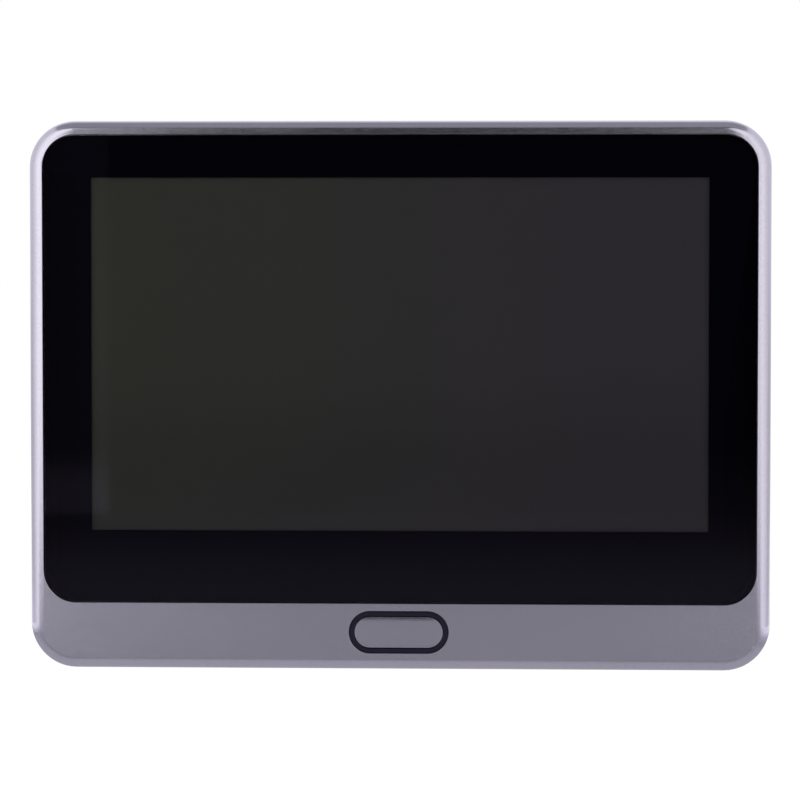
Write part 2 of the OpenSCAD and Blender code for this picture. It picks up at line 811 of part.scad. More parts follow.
// Electronics inside the monitor

module board_outline() {
    translate([board_x0, board_low_z])
        square([board_x1 - board_x0, board_top_z - board_low_z]);
    translate([board_x0, tongue_z]) square([tongue_w, board_low_z - tongue_z + cut]);
}

module main_board() {
    color("#1f5a34") difference() {
        slab(board_y, board_t) board_outline();
        for (p = BOARD_POSTS) {
            translate([p[0], 0, p[1]])
                rod(board_y - cut, board_t + 2 * cut, small_d + 2 * screw_gap);
        }
    }
}

module board_screws() {
    color("#b8bac0") for (p = BOARD_POSTS) {
        translate([p[0], 0, p[1]])
            pan_screw(board_back_y, board_t + board_gap - 2 * pilot_left, small_d,
                small_head_d, small_head_h);
    }
}

module board_shield() {
    color("#c3c6ca") translate([shield_x + shield_w / 2, 0, 0]) difference() {
        slab(board_back_y, shield_t) square([shield_w, shield_h], center = true);
        slab(board_back_y - cut, shield_t - shield_wall + cut)
            square([shield_w - 2 * shield_wall, shield_h - 2 * shield_wall], center = true);
    }
}

module battery_pack() {
    color("#9fa3a8") translate(batt_mid)
        slab(floor_back_y + batt_tape_t, batt_t) round_rect(batt_w, batt_h, panel_r);
}

module battery_tape() {
    color("#e6e2d4") translate(batt_mid)
        slab(floor_back_y, batt_tape_t)
        round_rect(batt_w - 2 * panel_r, batt_h - 2 * panel_r, panel_r);
}

module battery_lead() {
    plug_x = board_x0 + lead_edge;
    wire_y = board_back_y + lead_plug[2] / 2;
    color("#b02a24") {
        translate([plug_x, board_back_y, lead_z - lead_plug[1] / 2])
            cube([lead_plug[0], lead_plug[2], lead_plug[1]]);
        for (s = [-1, 1]) {
            translate([batt_x1, wire_y, lead_z + s * lead_pitch / 2])
                rotate([0, 90, 0]) cylinder(h = plug_x - batt_x1, d = lead_d);
        }
    }
}

module monitor_speaker() {
    cone = 0.8;
    color("#26262a") difference() {
        translate([speaker_x - speaker_w / 2, parting_y + skirt_h, bottom_in_z])
            cube([speaker_w, speaker_d, speaker_h]);
        translate([speaker_x, parting_y + skirt_h + speaker_d / 2, bottom_in_z - cut])
            linear_extrude(cone + cut) oblong(speaker_w - 2 * cone, speaker_d - 2 * cone);
    }
}

module microphone() {
    color("#c8cacc") translate([mic_x, mic_y, bottom_in_z + boot_t])
        cylinder(h = mic_h, d = mic_d);
}

module mic_boot() {
    color("#1a1a1c") translate([mic_x, mic_y, bottom_in_z]) difference() {
        cylinder(h = mic_h + boot_t, d = mic_d + 2 * boot_t);
        translate([0, 0, boot_t]) cylinder(h = mic_h + cut, d = mic_d + 2 * lay);
        translate([0, 0, -cut]) cylinder(h = boot_t + 2 * cut, d = sound_d);
    }
}

module wifi_antenna() {
    room_z = (recess_h - lift) / 2 + wall;
    color("#b8862f") translate([0, 0, (room_z + inner_h / 2) / 2])
        slab(back_in_y - antenna_t, antenna_t) square([antenna_w, antenna_h], center = true);
}

module usb_port() {
    tongue = 0.7;
    color("#c9ccd0") translate([board_x1 + usb_out - usb_l, usb_mid_y, usb_z])
        rotate([90, 0, 90]) difference() {
            linear_extrude(usb_l) rotate(90) oblong(usb_w, usb_h);
            translate([0, 0, usb_wall]) linear_extrude(usb_l) rotate(90) difference() {
                oblong(usb_w - 2 * usb_wall, usb_h - 2 * usb_wall);
                square([usb_w - usb_h, tongue], center = true);
            }
        }
}

module card_socket() {
    slot_h = 0.8;
    slot_edge = 1.2;
    color("#c2c5c9") difference() {
        translate([board_x1 - card_l, board_back_y, card_z - card_w / 2])
            cube([card_l, card_h, card_w]);
        translate([board_x1 - card_l + slot_edge, card_mid_y - slot_h / 2,
            card_z - card_w / 2 + slot_edge])
            cube([card_l, slot_h, card_w - 2 * slot_edge]);
    }
}

// Indoor monitor: rear moulding and the pieces that close it

module recess_outline(grow) {
    translate([0, -lift / 2])
        round_rect(recess_w + 2 * grow, recess_h + 2 * grow, recess_r + grow);
}

module bay_outline(grow) {
    translate([-bay_w / 2 - grow, bay_low_z - grow])
        square([bay_w + 2 * grow, bay_top_z - bay_low_z + 2 * grow]);
}

module housing_shell() {
    difference() {
        mirror([0, 1, 0]) translate([0, rear_gap, 0])
            soft_block(body_w, body_h, body_d - parting_d, corner_r, rear_round);
        slab(parting_y - cut, back_in_y - parting_y + cut) round_rect(inner_w, inner_h, inner_r);
    }
    slab(recess_in_y, back_in_y - recess_in_y + wall / 2) recess_outline(wall);
    slab(bay_in_y, recess_in_y - bay_in_y + wall / 2) bay_outline(bay_wall);
    for (c = CORNERS) {
        translate([c[0] * boss_x, 0, c[1] * boss_z])
            rod(boss_top_y, back_in_y - boss_top_y + wall / 2, boss_d);
    }
}

module hook_slots() {
    slot_low = neck_h / 2 + lift + slot_gap;
    slot_top = neck_h / 2 + hang_gap;
    for (p = HOOKS) {
        translate([p[0] - hook_w / 2 - slot_gap, recess_in_y - cut, p[1] - slot_low])
            cube([hook_w + 2 * slot_gap, wall + 2 * cut, slot_low + slot_top]);
    }
}

module port_openings() {
    pocket_w = cover_w + 2 * cover_gap;
    depth = cover_t + cover_gap;
    translate([side_x - depth, usb_mid_y - pocket_w / 2, hinge_z])
        cube([depth + cut, pocket_w, cover_h + cover_gap]);
    translate([hinge_x, 0, hinge_z]) rod(usb_mid_y - pocket_w / 2, pocket_w,
        cover_t + 2 * cover_gap);
    translate([hinge_x, usb_mid_y - pocket_w / 2, hinge_z - cover_t / 2 - cover_gap])
        cube([cover_t, pocket_w, cover_t]);
    translate([side_x - wall - cut, usb_mid_y, usb_z]) rotate([90, 0, 90])
        linear_extrude(wall + 2 * cut) rotate(90)
        oblong(usb_w + 2 * port_gap, usb_h + 2 * port_gap);
    translate([side_x - wall - cut, card_mid_y - card_h / 2, card_z - card_w / 2])
        cube([wall + 2 * cut, card_h, card_w]);
}

module speaker_slots() {
    slot_w = 1.2;
    pitch = 3;
    margin = 1;
    count = floor((speaker_w - 4 * margin) / pitch);
    slot_l = speaker_d - 2 * margin;
    for (i = [0:count]) {
        translate([speaker_x + (i - count / 2) * pitch - slot_w / 2,
            parting_y + skirt_h + margin, -top_z - cut])
            cube([slot_w, slot_l, wall + 2 * cut]);
    }
}

module rear_housing() {
    seat_y = boss_top_y + seat_t;
    color("#3c3c42") difference() {
        housing_shell();
        slab(recess_y, -recess_y + cut) recess_outline(0);
        slab(bay_y, -bay_y + cut) bay_outline(0);
        hook_slots();
        translate([0, 0, plug_z]) slab(bay_in_y - cut, bay_wall + 2 * cut)
            square([socket_w + 2 * plug_gap, socket_h + 2 * plug_gap], center = true);
        for (c = CORNERS) {
            translate([c[0] * boss_x, 0, c[1] * boss_z]) {
                rod(boss_top_y - cut, seat_t + 2 * cut, screw_d + 2 * screw_gap);
                rod(seat_y, -seat_y + cut, head_d + 2 * screw_gap);
            }
        }
        port_openings();
        speaker_slots();
        translate([-notch_w / 2, -rear_gap - notch_l, -top_z - cut])
            cube([notch_w, notch_l + cut, notch_d + cut]);
    }
}

module port_cover() {
    color("#33333a") {
        translate([side_x - cover_t, usb_mid_y - cover_w / 2, hinge_z])
            cube([cover_t, cover_w, cover_h]);
        translate([hinge_x, 0, hinge_z]) rod(usb_mid_y - cover_w / 2, cover_w, cover_t);
    }
}

module housing_screws() {
    color("#a9abb0") for (c = CORNERS) {
        translate([c[0] * boss_x, 0, c[1] * boss_z])
            pan_screw(boss_top_y + seat_t, seat_t + boss_h - 2 * pilot_left, screw_d,
                head_d, head_h);
    }
}

// Ribbon between the two units

module ribbon_socket() {
    color("#e8e4d8") translate([0, 0, plug_z]) difference() {
        slab(board_back_y, socket_y - board_back_y) square([socket_w, socket_h], center = true);
        slab(board_back_y + socket_t, socket_y - board_back_y)
            square([plug_w + 2 * plug_gap, plug_h + 2 * plug_gap], center = true);
    }
}

module ribbon_plug() {
    color("#2a2a2e") translate([0, 0, plug_z])
        slab(plug_y, plug_top_y - plug_y) square([plug_w, plug_h], center = true);
}

// The ribbon's side view is drawn in Y and Z and given its width along X
module ribbon_side() {
    rotate([90, 0, 90]) translate([0, 0, -ribbon_w / 2]) linear_extrude(ribbon_w) children();
}

module ribbon_end() {
    half = ribbon_t / 2;
    color("#d8d4c4") ribbon_side() {
        translate([ribbon_bend_y - half, -half])
            square([plate_y - ribbon_bend_y + half, ribbon_t]);
        translate([ribbon_bend_y - half, -half]) square([ribbon_t, plug_z + ribbon_t]);
        translate([plug_top_y, plug_z - half])
            square([ribbon_bend_y + half - plug_top_y, ribbon_t]);
    }
}

module ribbon_cable() {
    color("#d8d4c4") ribbon_side() translate([plate_y, -ribbon_t / 2])
        square([cam_board_y - connector_h - plate_y, ribbon_t]);
}

// Bracket and clamp sleeve on the door

module door_holes(y, t) {
    for (s = [-1, 1]) {
        translate([s * door_hole_x / 2, 0, 0]) rod(y - cut, t + 2 * cut, door_hole_d);
    }
    rod(y - cut, t + 2 * cut, shoulder_d + 2 * shoulder_gap);
}

module mounting_bracket() {
    color("#b4b6ba") {
        difference() {
            slab(plate_y, plate_t) round_rect(plate_w, plate_h, plate_r);
            door_holes(plate_y, plate_t);
        }
        for (p = HOOKS) {
            translate([p[0] - hook_w / 2, hook_y, p[1] - neck_h / 2]) {
                cube([hook_w, plate_y - hook_y + plate_t / 2, neck_h]);
                cube([hook_w, finger_t, neck_h + finger_h]);
            }
        }
    }
}

module bracket_pad() {
    color("#232326") difference() {
        slab(-pad_t, pad_t) round_rect(plate_w, plate_h, plate_r);
        door_holes(-pad_t, pad_t);
    }
}

module clamp_sleeve() {
    color("#c4c0b2") difference() {
        turned(flange_y) {
            translate([sleeve_bore / 2, 0])
                square([(flange_d - sleeve_bore) / 2, flange_t]);
            translate([sleeve_bore / 2, 0])
                square([(shoulder_d - sleeve_bore) / 2, -flange_y]);
            translate([sleeve_bore / 2, 0])
                square([(sleeve_d - sleeve_bore) / 2, sleeve_l - flange_y]);
        }
        translate([-flange_d, flange_y - cut, -coin_w / 2])
            cube([2 * flange_d, coin_d + cut, coin_w]);
    }
}

// Outdoor camera

module camera_housing() {
    color("#8d8c97") difference() {
        union() {
            difference() {
                turned(cam_y) {
                    square([cam_d / 2 - cam_round, cam_l]);
                    square([cam_d / 2, cam_l - cam_round]);
                    translate([cam_d / 2 - cam_round, cam_l - cam_round]) circle(r = cam_round);
                }
                rod(cam_floor_y, cam_front_y - cam_floor_y + cut, 2 * cavity_r);
                rod(face_y - seal_t, cam_front_y - face_y + seal_t + cut, 2 * face_pocket_r);
            }
            for (p = CAM_SCREWS) {
                translate([p[0], 0, p[1]])
                    rod(cam_floor_y - cam_back / 2, cam_board_gap + cam_back / 2, post_d);
            }
        }
        rod(cam_y - cut, cam_back + 2 * cut, tail_d + 2 * tail_gap);
        for (p = CAM_SCREWS) {
            translate([p[0], 0, p[1]])
                rod(cam_floor_y + pilot_left, cam_board_gap, small_d + 2 * thread_gap);
        }
    }
}

module camera_gasket() {
    hole_r = tail_d / 2 + gasket_gap;
    color("#1b1b1d") turned(door_t) translate([hole_r, 0])
        square([gasket_d / 2 - hole_r, gasket_t]);
}

module camera_tail() {
    color("#c4c0b2") turned(tail_y) {
        translate([tail_bore / 2, 0]) square([(tail_d - tail_bore) / 2, tail_l + tail_flange_t]);
        translate([tail_bore / 2, tail_l])
            square([(tail_flange_d - tail_bore) / 2, tail_flange_t]);
    }
}

module camera_board() {
    color("#1f5a34") difference() {
        rod(cam_board_y, board_t, 2 * cam_board_r);
        for (p = CAM_SCREWS) {
            translate([p[0], 0, p[1]])
                rod(cam_board_y - cut, board_t + 2 * cut, small_d + 2 * screw_gap);
        }
    }
}

module camera_screws() {
    color("#b8bac0") for (p = CAM_SCREWS) {
        translate([p[0], 0, p[1]])
            pan_screw(cam_board_front_y, board_t + cam_board_gap - 2 * pilot_left, small_d,
                small_head_d, small_head_h);
    }
}

module camera_connector() {
    color("#e8e4d8") slab(cam_board_y - connector_h, connector_h)
        square([connector_w, connector_t], center = true);
}

module image_sensor() {
    color("#2e3a4a") translate([0, 0, lens_z]) slab(cam_board_front_y, sensor_h)
        square(sensor_w, center = true);
}

module lens_holder() {
    color("#1d1d20") translate([0, 0, lens_z]) difference() {
        slab(cam_board_front_y, holder_h) square(holder_w, center = true);
        rod(cam_board_front_y - cut, holder_h + 2 * cut, barrel_d + 2 * barrel_gap);
    }
}

module lens_barrel() {
    color("#111114") translate([0, 0, lens_z]) turned(barrel_y) translate([barrel_bore / 2, 0])
        square([(barrel_d - barrel_bore) / 2, barrel_top_y - barrel_y]);
}

module lens_element() {
    dome = barrel_bore;
    color("#5f7a86") translate([0, 0, lens_z]) turned(barrel_top_y - element_t) intersection() {
        square([barrel_bore / 2 - lay, element_t]);
        translate([0, element_t - dome]) circle(r = dome);
    }
}

module lens_window() {
    color("#20242a") translate([0, 0, lens_z])
        rod(face_front_y - lens_window_t, lens_window_t, lens_window_d - 2 * face_gap);
}

module ir_leds() {
    color("#3a2430") for (p = LAMPS) {
        translate([p[0], 0, p[1]]) turned(cam_board_front_y) {
            square([led_d / 2, led_h - led_d / 2]);
            translate([0, led_h - led_d / 2]) quarter(led_d / 2);
        }
    }
}

module pir_lens() {
    color("#d9d8d0") translate([0, 0, pir_z]) turned(face_y - pir_lip) {
        square([pir_d / 2 + pir_lip, pir_lip]);
        square([pir_d / 2 - face_gap, pir_lip + face_t]);
        translate([0, pir_lip + face_t]) intersection() {
            square(pir_d / 2 - face_gap);
            translate([0, -pir_d / 4]) circle(r = norm([pir_d / 2 - face_gap, pir_d / 4]));
        }
    }
}

module pir_sensor() {
    color("#c6c8cb") translate([0, 0, pir_z]) rod(cam_board_front_y, can_h, can_d);
}

module camera_face() {
    color("#0c0c0f") difference() {
        rod(face_y, face_t, 2 * face_r);
        translate([0, 0, lens_z]) {
            rod(face_y - cut, face_t + 2 * cut, lens_window_d - 2 * window_ledge);
            rod(face_front_y - lens_window_t, lens_window_t + cut, lens_window_d);
        }
        translate([0, 0, pir_z]) rod(face_y - cut, face_t + 2 * cut, pir_d);
        translate([0, 0, bell_z]) rod(face_y - cut, face_t + 2 * cut, bell_ring_d + 2 * ring_fit);
        translate([sound_x, 0, -sound_drop]) rod(face_y - cut, face_t + 2 * cut, sound_d);
        translate([-sound_x, 0, -sound_drop]) {
            rod(face_y - cut, face_t + 2 * cut, sound_d);
            for (i = [1:sound_ring]) {
                rotate([0, i * 360 / sound_ring, 0]) translate([cam_speaker_d / 4, 0, 0])
                    rod(face_y - cut, face_t + 2 * cut, sound_d);
            }
        }
    }
}

module face_seal() {
    color("#17171a") turned(face_y - seal_t) translate([cavity_r, 0])
        square([seal_w - face_gap, seal_t]);
}

module bell_ring() {
    color("#cfe0e6") translate([0, 0, bell_z]) difference() {
        union() {
            rod(face_y, face_t, bell_ring_d);
            rod(face_y - bell_lip, bell_lip, bell_ring_d + 2 * bell_lip);
        }
        rod(face_y - bell_lip - cut, face_t + bell_lip + 2 * cut, bell_hole_d);
    }
}

module bell_button() {
    top_y = face_front_y + bell_proud;
    color("#9c9ba6") translate([0, 0, bell_z]) {
        rod(bell_flange_y, top_y - bell_flange_y, bell_d);
        rod(bell_flange_y, bell_lip, bell_d + 2 * bell_lip);
        rod(bell_plunger_y, bell_flange_y - bell_plunger_y + bell_lip / 2,
            plunger_d + 2 * bell_lip);
    }
}

module bell_plunger() {
    low_y = bell_switch_y - switch_h / 4 + lay;
    color("#202024") translate([0, 0, bell_z]) rod(low_y, bell_plunger_y - low_y, plunger_d);
}

module bell_switch() {
    color("#c9c9cc") translate([0, 0, bell_z]) switch_case(cam_board_front_y, 1);
}

module camera_speaker() {
    rim = 0.8;
    color("#26262a") translate([-sound_x, 0, -sound_drop]) difference() {
        rod(face_y - cam_speaker_t, cam_speaker_t, cam_speaker_d);
        rod(face_y - rim, rim + cut, cam_speaker_d - 2 * rim);
    }
}

module camera_mic() {
    color("#c8cacc") translate([sound_x, 0, -sound_drop]) rod(face_y - mic_h, mic_h, mic_d);
}

front_bezel();
rear_housing();
cover_glass();
glass_border();
glass_tape();
lcd_panel();
lcd_backlight();
lcd_flex();
button_ring();
power_button();
switch_plunger();
power_switch();
main_board();
board_screws();
board_shield();
battery_pack();
battery_tape();
battery_lead();
monitor_speaker();
microphone();
mic_boot();
wifi_antenna();
usb_port();
card_socket();
port_cover();
housing_screws();
ribbon_socket();
ribbon_plug();
ribbon_end();
ribbon_cable();
mounting_bracket();
bracket_pad();
clamp_sleeve();
camera_housing();
camera_gasket();
camera_tail();
camera_board();
camera_screws();
camera_connector();
image_sensor();
lens_holder();
lens_barrel();
lens_element();
lens_window();
ir_leds();
pir_lens();
pir_sensor();
camera_face();
face_seal();
bell_ring();
bell_button();
bell_plunger();
bell_switch();
camera_speaker();
camera_mic();
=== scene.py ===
# %% [markdown]
# # A peephole door camera
# The object has two units. A monitor hangs on the inside of a door, and a round camera with a bell
# button sits on the outside. A threaded tail and a ribbon run through the door's peephole hole between
# them. The solid model of every piece is loaded as a fixed frame. This lesson then gives each piece its
# finish, eases its sharp edges as a moulder or a machinist would, and models what the solids only hint
# at: rubber, foam, ribbon, screw recesses, the tail's thread and the lens.

# %% Load the solid model
import json
import math

import bmesh
import bpy
from mathutils import Matrix, Vector

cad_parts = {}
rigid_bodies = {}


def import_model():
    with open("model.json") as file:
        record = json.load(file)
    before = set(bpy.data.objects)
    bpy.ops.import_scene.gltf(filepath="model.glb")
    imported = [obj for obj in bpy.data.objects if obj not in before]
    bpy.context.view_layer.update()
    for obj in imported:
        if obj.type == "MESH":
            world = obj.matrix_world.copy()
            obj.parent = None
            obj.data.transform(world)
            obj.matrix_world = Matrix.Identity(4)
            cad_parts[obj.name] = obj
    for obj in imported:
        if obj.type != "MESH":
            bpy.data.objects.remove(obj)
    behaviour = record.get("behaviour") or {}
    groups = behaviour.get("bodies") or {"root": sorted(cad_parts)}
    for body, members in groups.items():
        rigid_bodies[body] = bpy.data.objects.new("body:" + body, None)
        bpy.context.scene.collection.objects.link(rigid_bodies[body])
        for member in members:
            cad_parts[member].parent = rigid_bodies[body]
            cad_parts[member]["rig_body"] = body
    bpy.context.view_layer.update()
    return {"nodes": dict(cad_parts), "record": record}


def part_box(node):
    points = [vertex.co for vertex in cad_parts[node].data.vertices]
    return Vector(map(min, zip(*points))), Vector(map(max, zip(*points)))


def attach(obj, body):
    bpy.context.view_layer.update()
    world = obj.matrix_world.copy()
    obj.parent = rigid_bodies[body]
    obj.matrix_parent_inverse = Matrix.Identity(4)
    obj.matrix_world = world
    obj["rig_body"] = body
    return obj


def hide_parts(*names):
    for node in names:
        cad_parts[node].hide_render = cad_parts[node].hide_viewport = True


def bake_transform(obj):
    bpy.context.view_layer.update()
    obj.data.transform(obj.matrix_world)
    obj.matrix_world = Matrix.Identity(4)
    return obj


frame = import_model()
record = frame["record"]
slot_of = {row["node"]: row["material_slot"] for row in record["subparts"]}

# %% [markdown]
# ## The camera
# The picture was taken from almost straight in front, a little to the right of the middle and a little
# above it. The monitor's left side looks a hair shorter than its right side, and its bottom a hair
# narrower than its top. Those two tapers give the distance and the angles. A long lens keeps the
# outline nearly square, so the camera stands 60 cm away with a narrow view. We could aim it with a
# constraint, but a plain direction is easier to read.

# %% Camera
MM = 0.001
camera_place = Vector((27.7, -600.0, 26.8)) * MM
look_right = math.radians(-2.726)
look_up = math.radians(-2.715)
sensor_width = 36.0
picture_size = 800
focal_pixels = 3769.7

camera_data = bpy.data.cameras.new("photo_camera")
camera_data.sensor_width = sensor_width
camera_data.lens = focal_pixels / picture_size * sensor_width
camera_data.clip_start = 10 * MM
camera = bpy.data.objects.new("photo_camera", camera_data)
bpy.context.scene.collection.objects.link(camera)
ahead = Vector((
    math.sin(look_right) * math.cos(look_up),
    math.cos(look_right) * math.cos(look_up),
    math.sin(look_up),
))
camera.location = camera_place
camera.rotation_euler = ahead.to_track_quat("-Z", "Y").to_euler()
bpy.context.scene.camera = camera
print("camera lens", round(camera_data.lens, 1), "mm, looking along", ahead)

# %% [markdown]
# ## Shader maths as Python
# A material is a tree of nodes. Written by hand, every sum needs a node and two links, which soon hides
# the idea. So a small class wraps a socket: adding or multiplying two of them adds the Math node. A
# second class holds the tree and has one method that adds any other node, its settings first and its
# sockets after.

# %% Sockets that can be added and multiplied
class Wire:
    """The value that leaves a socket. Python's operators on it add Math nodes."""

    def __init__(self, tree, socket):
        self.tree = tree
        self.socket = socket

    def maths(self, operation, first, second):
        return self.tree.node("Math", {"operation": operation}, {0: first, 1: second})

    def __add__(self, other):
        return self.maths("ADD", self, other)

    def __sub__(self, other):
        return self.maths("SUBTRACT", self, other)

    def __rsub__(self, other):
        return self.maths("SUBTRACT", other, self)

    def __mul__(self, other):
        return self.maths("MULTIPLY", self, other)

    def __pow__(self, other):
        return self.maths("POWER", self, other)

    def __lt__(self, other):
        return self.maths("LESS_THAN", self, other)

    def __gt__(self, other):
        return self.maths("GREATER_THAN", self, other)

    __radd__ = __add__
    __rmul__ = __mul__


class Tree:
    """A node tree under construction."""

    def __init__(self, owner):
        owner.use_nodes = True
        self.nodes = owner.node_tree.nodes
        self.links = owner.node_tree.links
        self.nodes.clear()

    def node(self, kind, settings=None, sockets=None, out=0):
        """Adds one node and gives back the value that leaves it."""
        made = self.nodes.new("ShaderNode" + kind)
        for name, value in (settings or {}).items():
            setattr(made, name, value)
        for name, value in (sockets or {}).items():
            if isinstance(value, Wire):
                self.links.new(value.socket, made.inputs[name])
            else:
                made.inputs[name].default_value = value
        return Wire(self, made.outputs[out]) if made.outputs else made

    def tint(self, share, first, second):
        """A colour between two colours."""
        return self.node("Mix", {"data_type": "RGBA"}, {0: share, 6: first, 7: second}, out=2)


def shade(red, green, blue):
    """A screen colour, 0 to 255, as the linear colour that shaders use."""
    linear = [c / 12.92 if c <= 0.04045 else ((c + 0.055) / 1.055) ** 2.4
              for c in (red / 255, green / 255, blue / 255)]
    return (*linear, 1.0)


print("a mid grey is", [round(c, 3) for c in shade(128, 128, 128)])

# %% [markdown]
# ## Floor, background and light
# The photograph has a plain white background and soft light. The world is white for camera, mirror and
# glass rays and dimmer as a lamp, so the background is white without flooding the object. The pale
# floor lies well below, as the monitor hangs on a door, and it keeps the object's shadow. Two soft
# boxes beside the camera and one above light the object. Glass and paint also mirror what stands round
# them, so a photographer hangs a dark cloth behind the camera, lays grey aprons on the table and stands
# a bright wing on each side: the rims fade from bright to grey as they turn from the wing's inner end
# to its outer end. Ours are cards that only mirror rays see.

# %% World and floor
ambient = 0.62
world = bpy.data.worlds.new("studio")
bpy.context.scene.world = world
sky = Tree(world)
rays = {name: sky.node("LightPath", out=name)
        for name in ("Is Camera Ray", "Is Glossy Ray", "Is Transmission Ray")}
seen = rays["Is Camera Ray"] + rays["Is Glossy Ray"] + rays["Is Transmission Ray"]
level = ambient + (1 - ambient) * (seen > 0.5)
backdrop = sky.node("Background", {}, {"Color": (1, 1, 1, 1), "Strength": level})
sky.node("OutputWorld", {}, {"Surface": backdrop})
bpy.context.scene.view_settings.view_transform = "Standard"

floor_height = -120 * MM
floor_reach = 6.0
floor_mesh = bmesh.new()
bmesh.ops.create_circle(floor_mesh, cap_ends=True, segments=96, radius=floor_reach,
                        matrix=Matrix.Translation((0, 0, floor_height)))
floor_data = bpy.data.meshes.new("floor")
floor_mesh.to_mesh(floor_data)
floor_mesh.free()
floor = bpy.data.objects.new("floor", floor_data)
bpy.context.scene.collection.objects.link(floor)
floor_paint = bpy.data.materials.new("floor_paint")
paper = Tree(floor_paint)
pale = paper.node("BsdfDiffuse", {}, {"Color": shade(246, 246, 246)})
white = paper.node("Emission", {}, {"Color": (1, 1, 1, 1), "Strength": 1.06})
plain = (paper.node("LightPath", out="Is Camera Ray") * 0.9
         + paper.node("LightPath", out="Is Glossy Ray") * 0.3
         + paper.node("LightPath", out="Is Transmission Ray") * 0.3)
paper.node("OutputMaterial", {}, {"Surface": paper.node("MixShader", {}, {0: plain, 1: pale, 2: white})})
floor_data.materials.append(floor_paint)
print("floor", round(floor_height / MM), "mm below the peephole axis")

# %% Soft boxes
def soft_box(name, place, size, power):
    """A square lamp that faces the middle of the monitor. What mirrors show in its place is a card."""
    data = bpy.data.lights.new(name, "AREA")
    data.shape = "RECTANGLE"
    data.size, data.size_y = size
    data.energy = power
    lamp = bpy.data.objects.new(name, data)
    lamp.location = place
    lamp.rotation_euler = (-Vector(place)).to_track_quat("-Z", "Y").to_euler()
    lamp.visible_camera = False
    lamp.visible_glossy = False
    bpy.context.scene.collection.objects.link(lamp)
    return lamp


soft_box("left_box", place=(-0.45, -0.84, 0.02), size=(0.40, 0.8), power=1.9)
soft_box("right_box", place=(0.60, -0.75, 0.02), size=(0.40, 0.8), power=1.7)
soft_box("top_box", place=(0.0, -0.25, 0.95), size=(0.8, 0.5), power=1.2)
print("two side boxes and one top box")


# %% Cards for the mirror rays
def reflector(name, corners, levels, along, ends, colour=(1, 0.98, 1, 1)):
    """A card that only mirror rays see. It fades between two levels from one end to the other."""
    card = bmesh.new()
    card.faces.new([card.verts.new(corner) for corner in corners])
    data = bpy.data.meshes.new(name)
    card.to_mesh(data)
    card.free()
    made = bpy.data.objects.new(name, data)
    bpy.context.scene.collection.objects.link(made)
    made.visible_camera = False
    made.visible_diffuse = False
    made.visible_shadow = False
    made.visible_transmission = False
    paint = bpy.data.materials.new(name)
    cloth = Tree(paint)
    axis = cloth.node("SeparateXYZ", {}, {0: cloth.node("TexCoord", out="Object")}, out=along)
    fade = cloth.node("MapRange", {"interpolation_type": "SMOOTHSTEP"},
                      {0: axis, 1: ends[0], 2: ends[1], 3: levels[0], 4: levels[1]})
    glow = cloth.node("Emission", {}, {"Color": colour, "Strength": fade})
    cloth.node("OutputMaterial", {}, {"Surface": glow})
    data.materials.append(paint)
    return made


def upright(left, right):
    """The corners of a card that stands between two places on the floor."""
    return [(*left, table), (*right, table), (*right, ceiling), (*left, ceiling)]


def lying(left, right, front, back, height):
    """The corners of a level card."""
    return [(left, front, height), (right, front, height), (right, back, height), (left, back, height)]


ceiling, table = 0.9, -0.118
cloth_y, cloth_left, fold_x, cloth_right = -1.3, -0.262, -0.205, 0.17
wing_x, wing_y = 1.15, -0.1
apron_y, chin_y, pale_y = -0.3, -0.86, 0.1
flare_x, apron_back, ceiling_x, ceiling_back = 0.7, 1.2, 0.6, 1.0
lamp_white = (1, 0.99, 0.93, 1)
reflector("dark_cloth", upright((fold_x, cloth_y), (cloth_right, cloth_y)),
          levels=(0.03, 0.12), along="Z", ends=(-0.08, table))
reflector("cloth_fold", upright((cloth_left, cloth_y), (fold_x, cloth_y)),
          levels=(0.13, 0.45), along="Z", ends=(-0.085, -0.105))
reflector("left_wing", upright((-wing_x, wing_y), (cloth_left, cloth_y)),
          levels=(1.75, 1.0), along="X", ends=(cloth_left, -wing_x), colour=lamp_white)
reflector("right_wing", upright((cloth_right, cloth_y), (wing_x, wing_y)),
          levels=(1.45, 1.0), along="X", ends=(cloth_right, wing_x), colour=lamp_white)
reflector("dark_apron", lying(cloth_left, cloth_right, cloth_y, chin_y, table),
          levels=(0.18, 0.55), along="Y", ends=(-1.28, -0.88))
reflector("near_apron", lying(cloth_left, cloth_right, chin_y, apron_y, table),
          levels=(0.55, 0.345), along="Y", ends=(-0.84, -0.55))
reflector("left_flare", lying(-flare_x, cloth_left, cloth_y, apron_back, table),
          levels=(0.47, 1.4), along="X", ends=(cloth_left, -0.5))
reflector("right_flare", lying(cloth_right, flare_x, cloth_y, apron_back, table),
          levels=(0.47, 1.3), along="X", ends=(cloth_right, 0.42))
reflector("grey_apron", lying(cloth_left, cloth_right, apron_y, apron_back, table),
          levels=(0.43, 0.57), along="Y", ends=(apron_y, -0.05))
reflector("grey_ceiling", lying(-ceiling_x, ceiling_x, cloth_y, pale_y, ceiling),
          levels=(0.02, 0.42), along="Y", ends=(-1.25, -0.75))
reflector("pale_ceiling", lying(-ceiling_x, ceiling_x, pale_y, ceiling_back, ceiling),
          levels=(0.42, 1.05), along="Y", ends=(pale_y, 0.7))
print("a cloth, two wings, aprons and a ceiling")

# %% [markdown]
# ## Finishes
# Real surfaces are never one flat colour. Each finish mixes two close colours by a pattern at the real
# scale of the material: flakes of a tenth of a millimetre in the paint, spark texture on moulded
# plastic, grinding lines on metal. The pattern also shifts the roughness a little and gives a shallow
# bump. All patterns read Object coordinates, in metres, so a lump of 0.2 mm is written as 0.2 * MM.

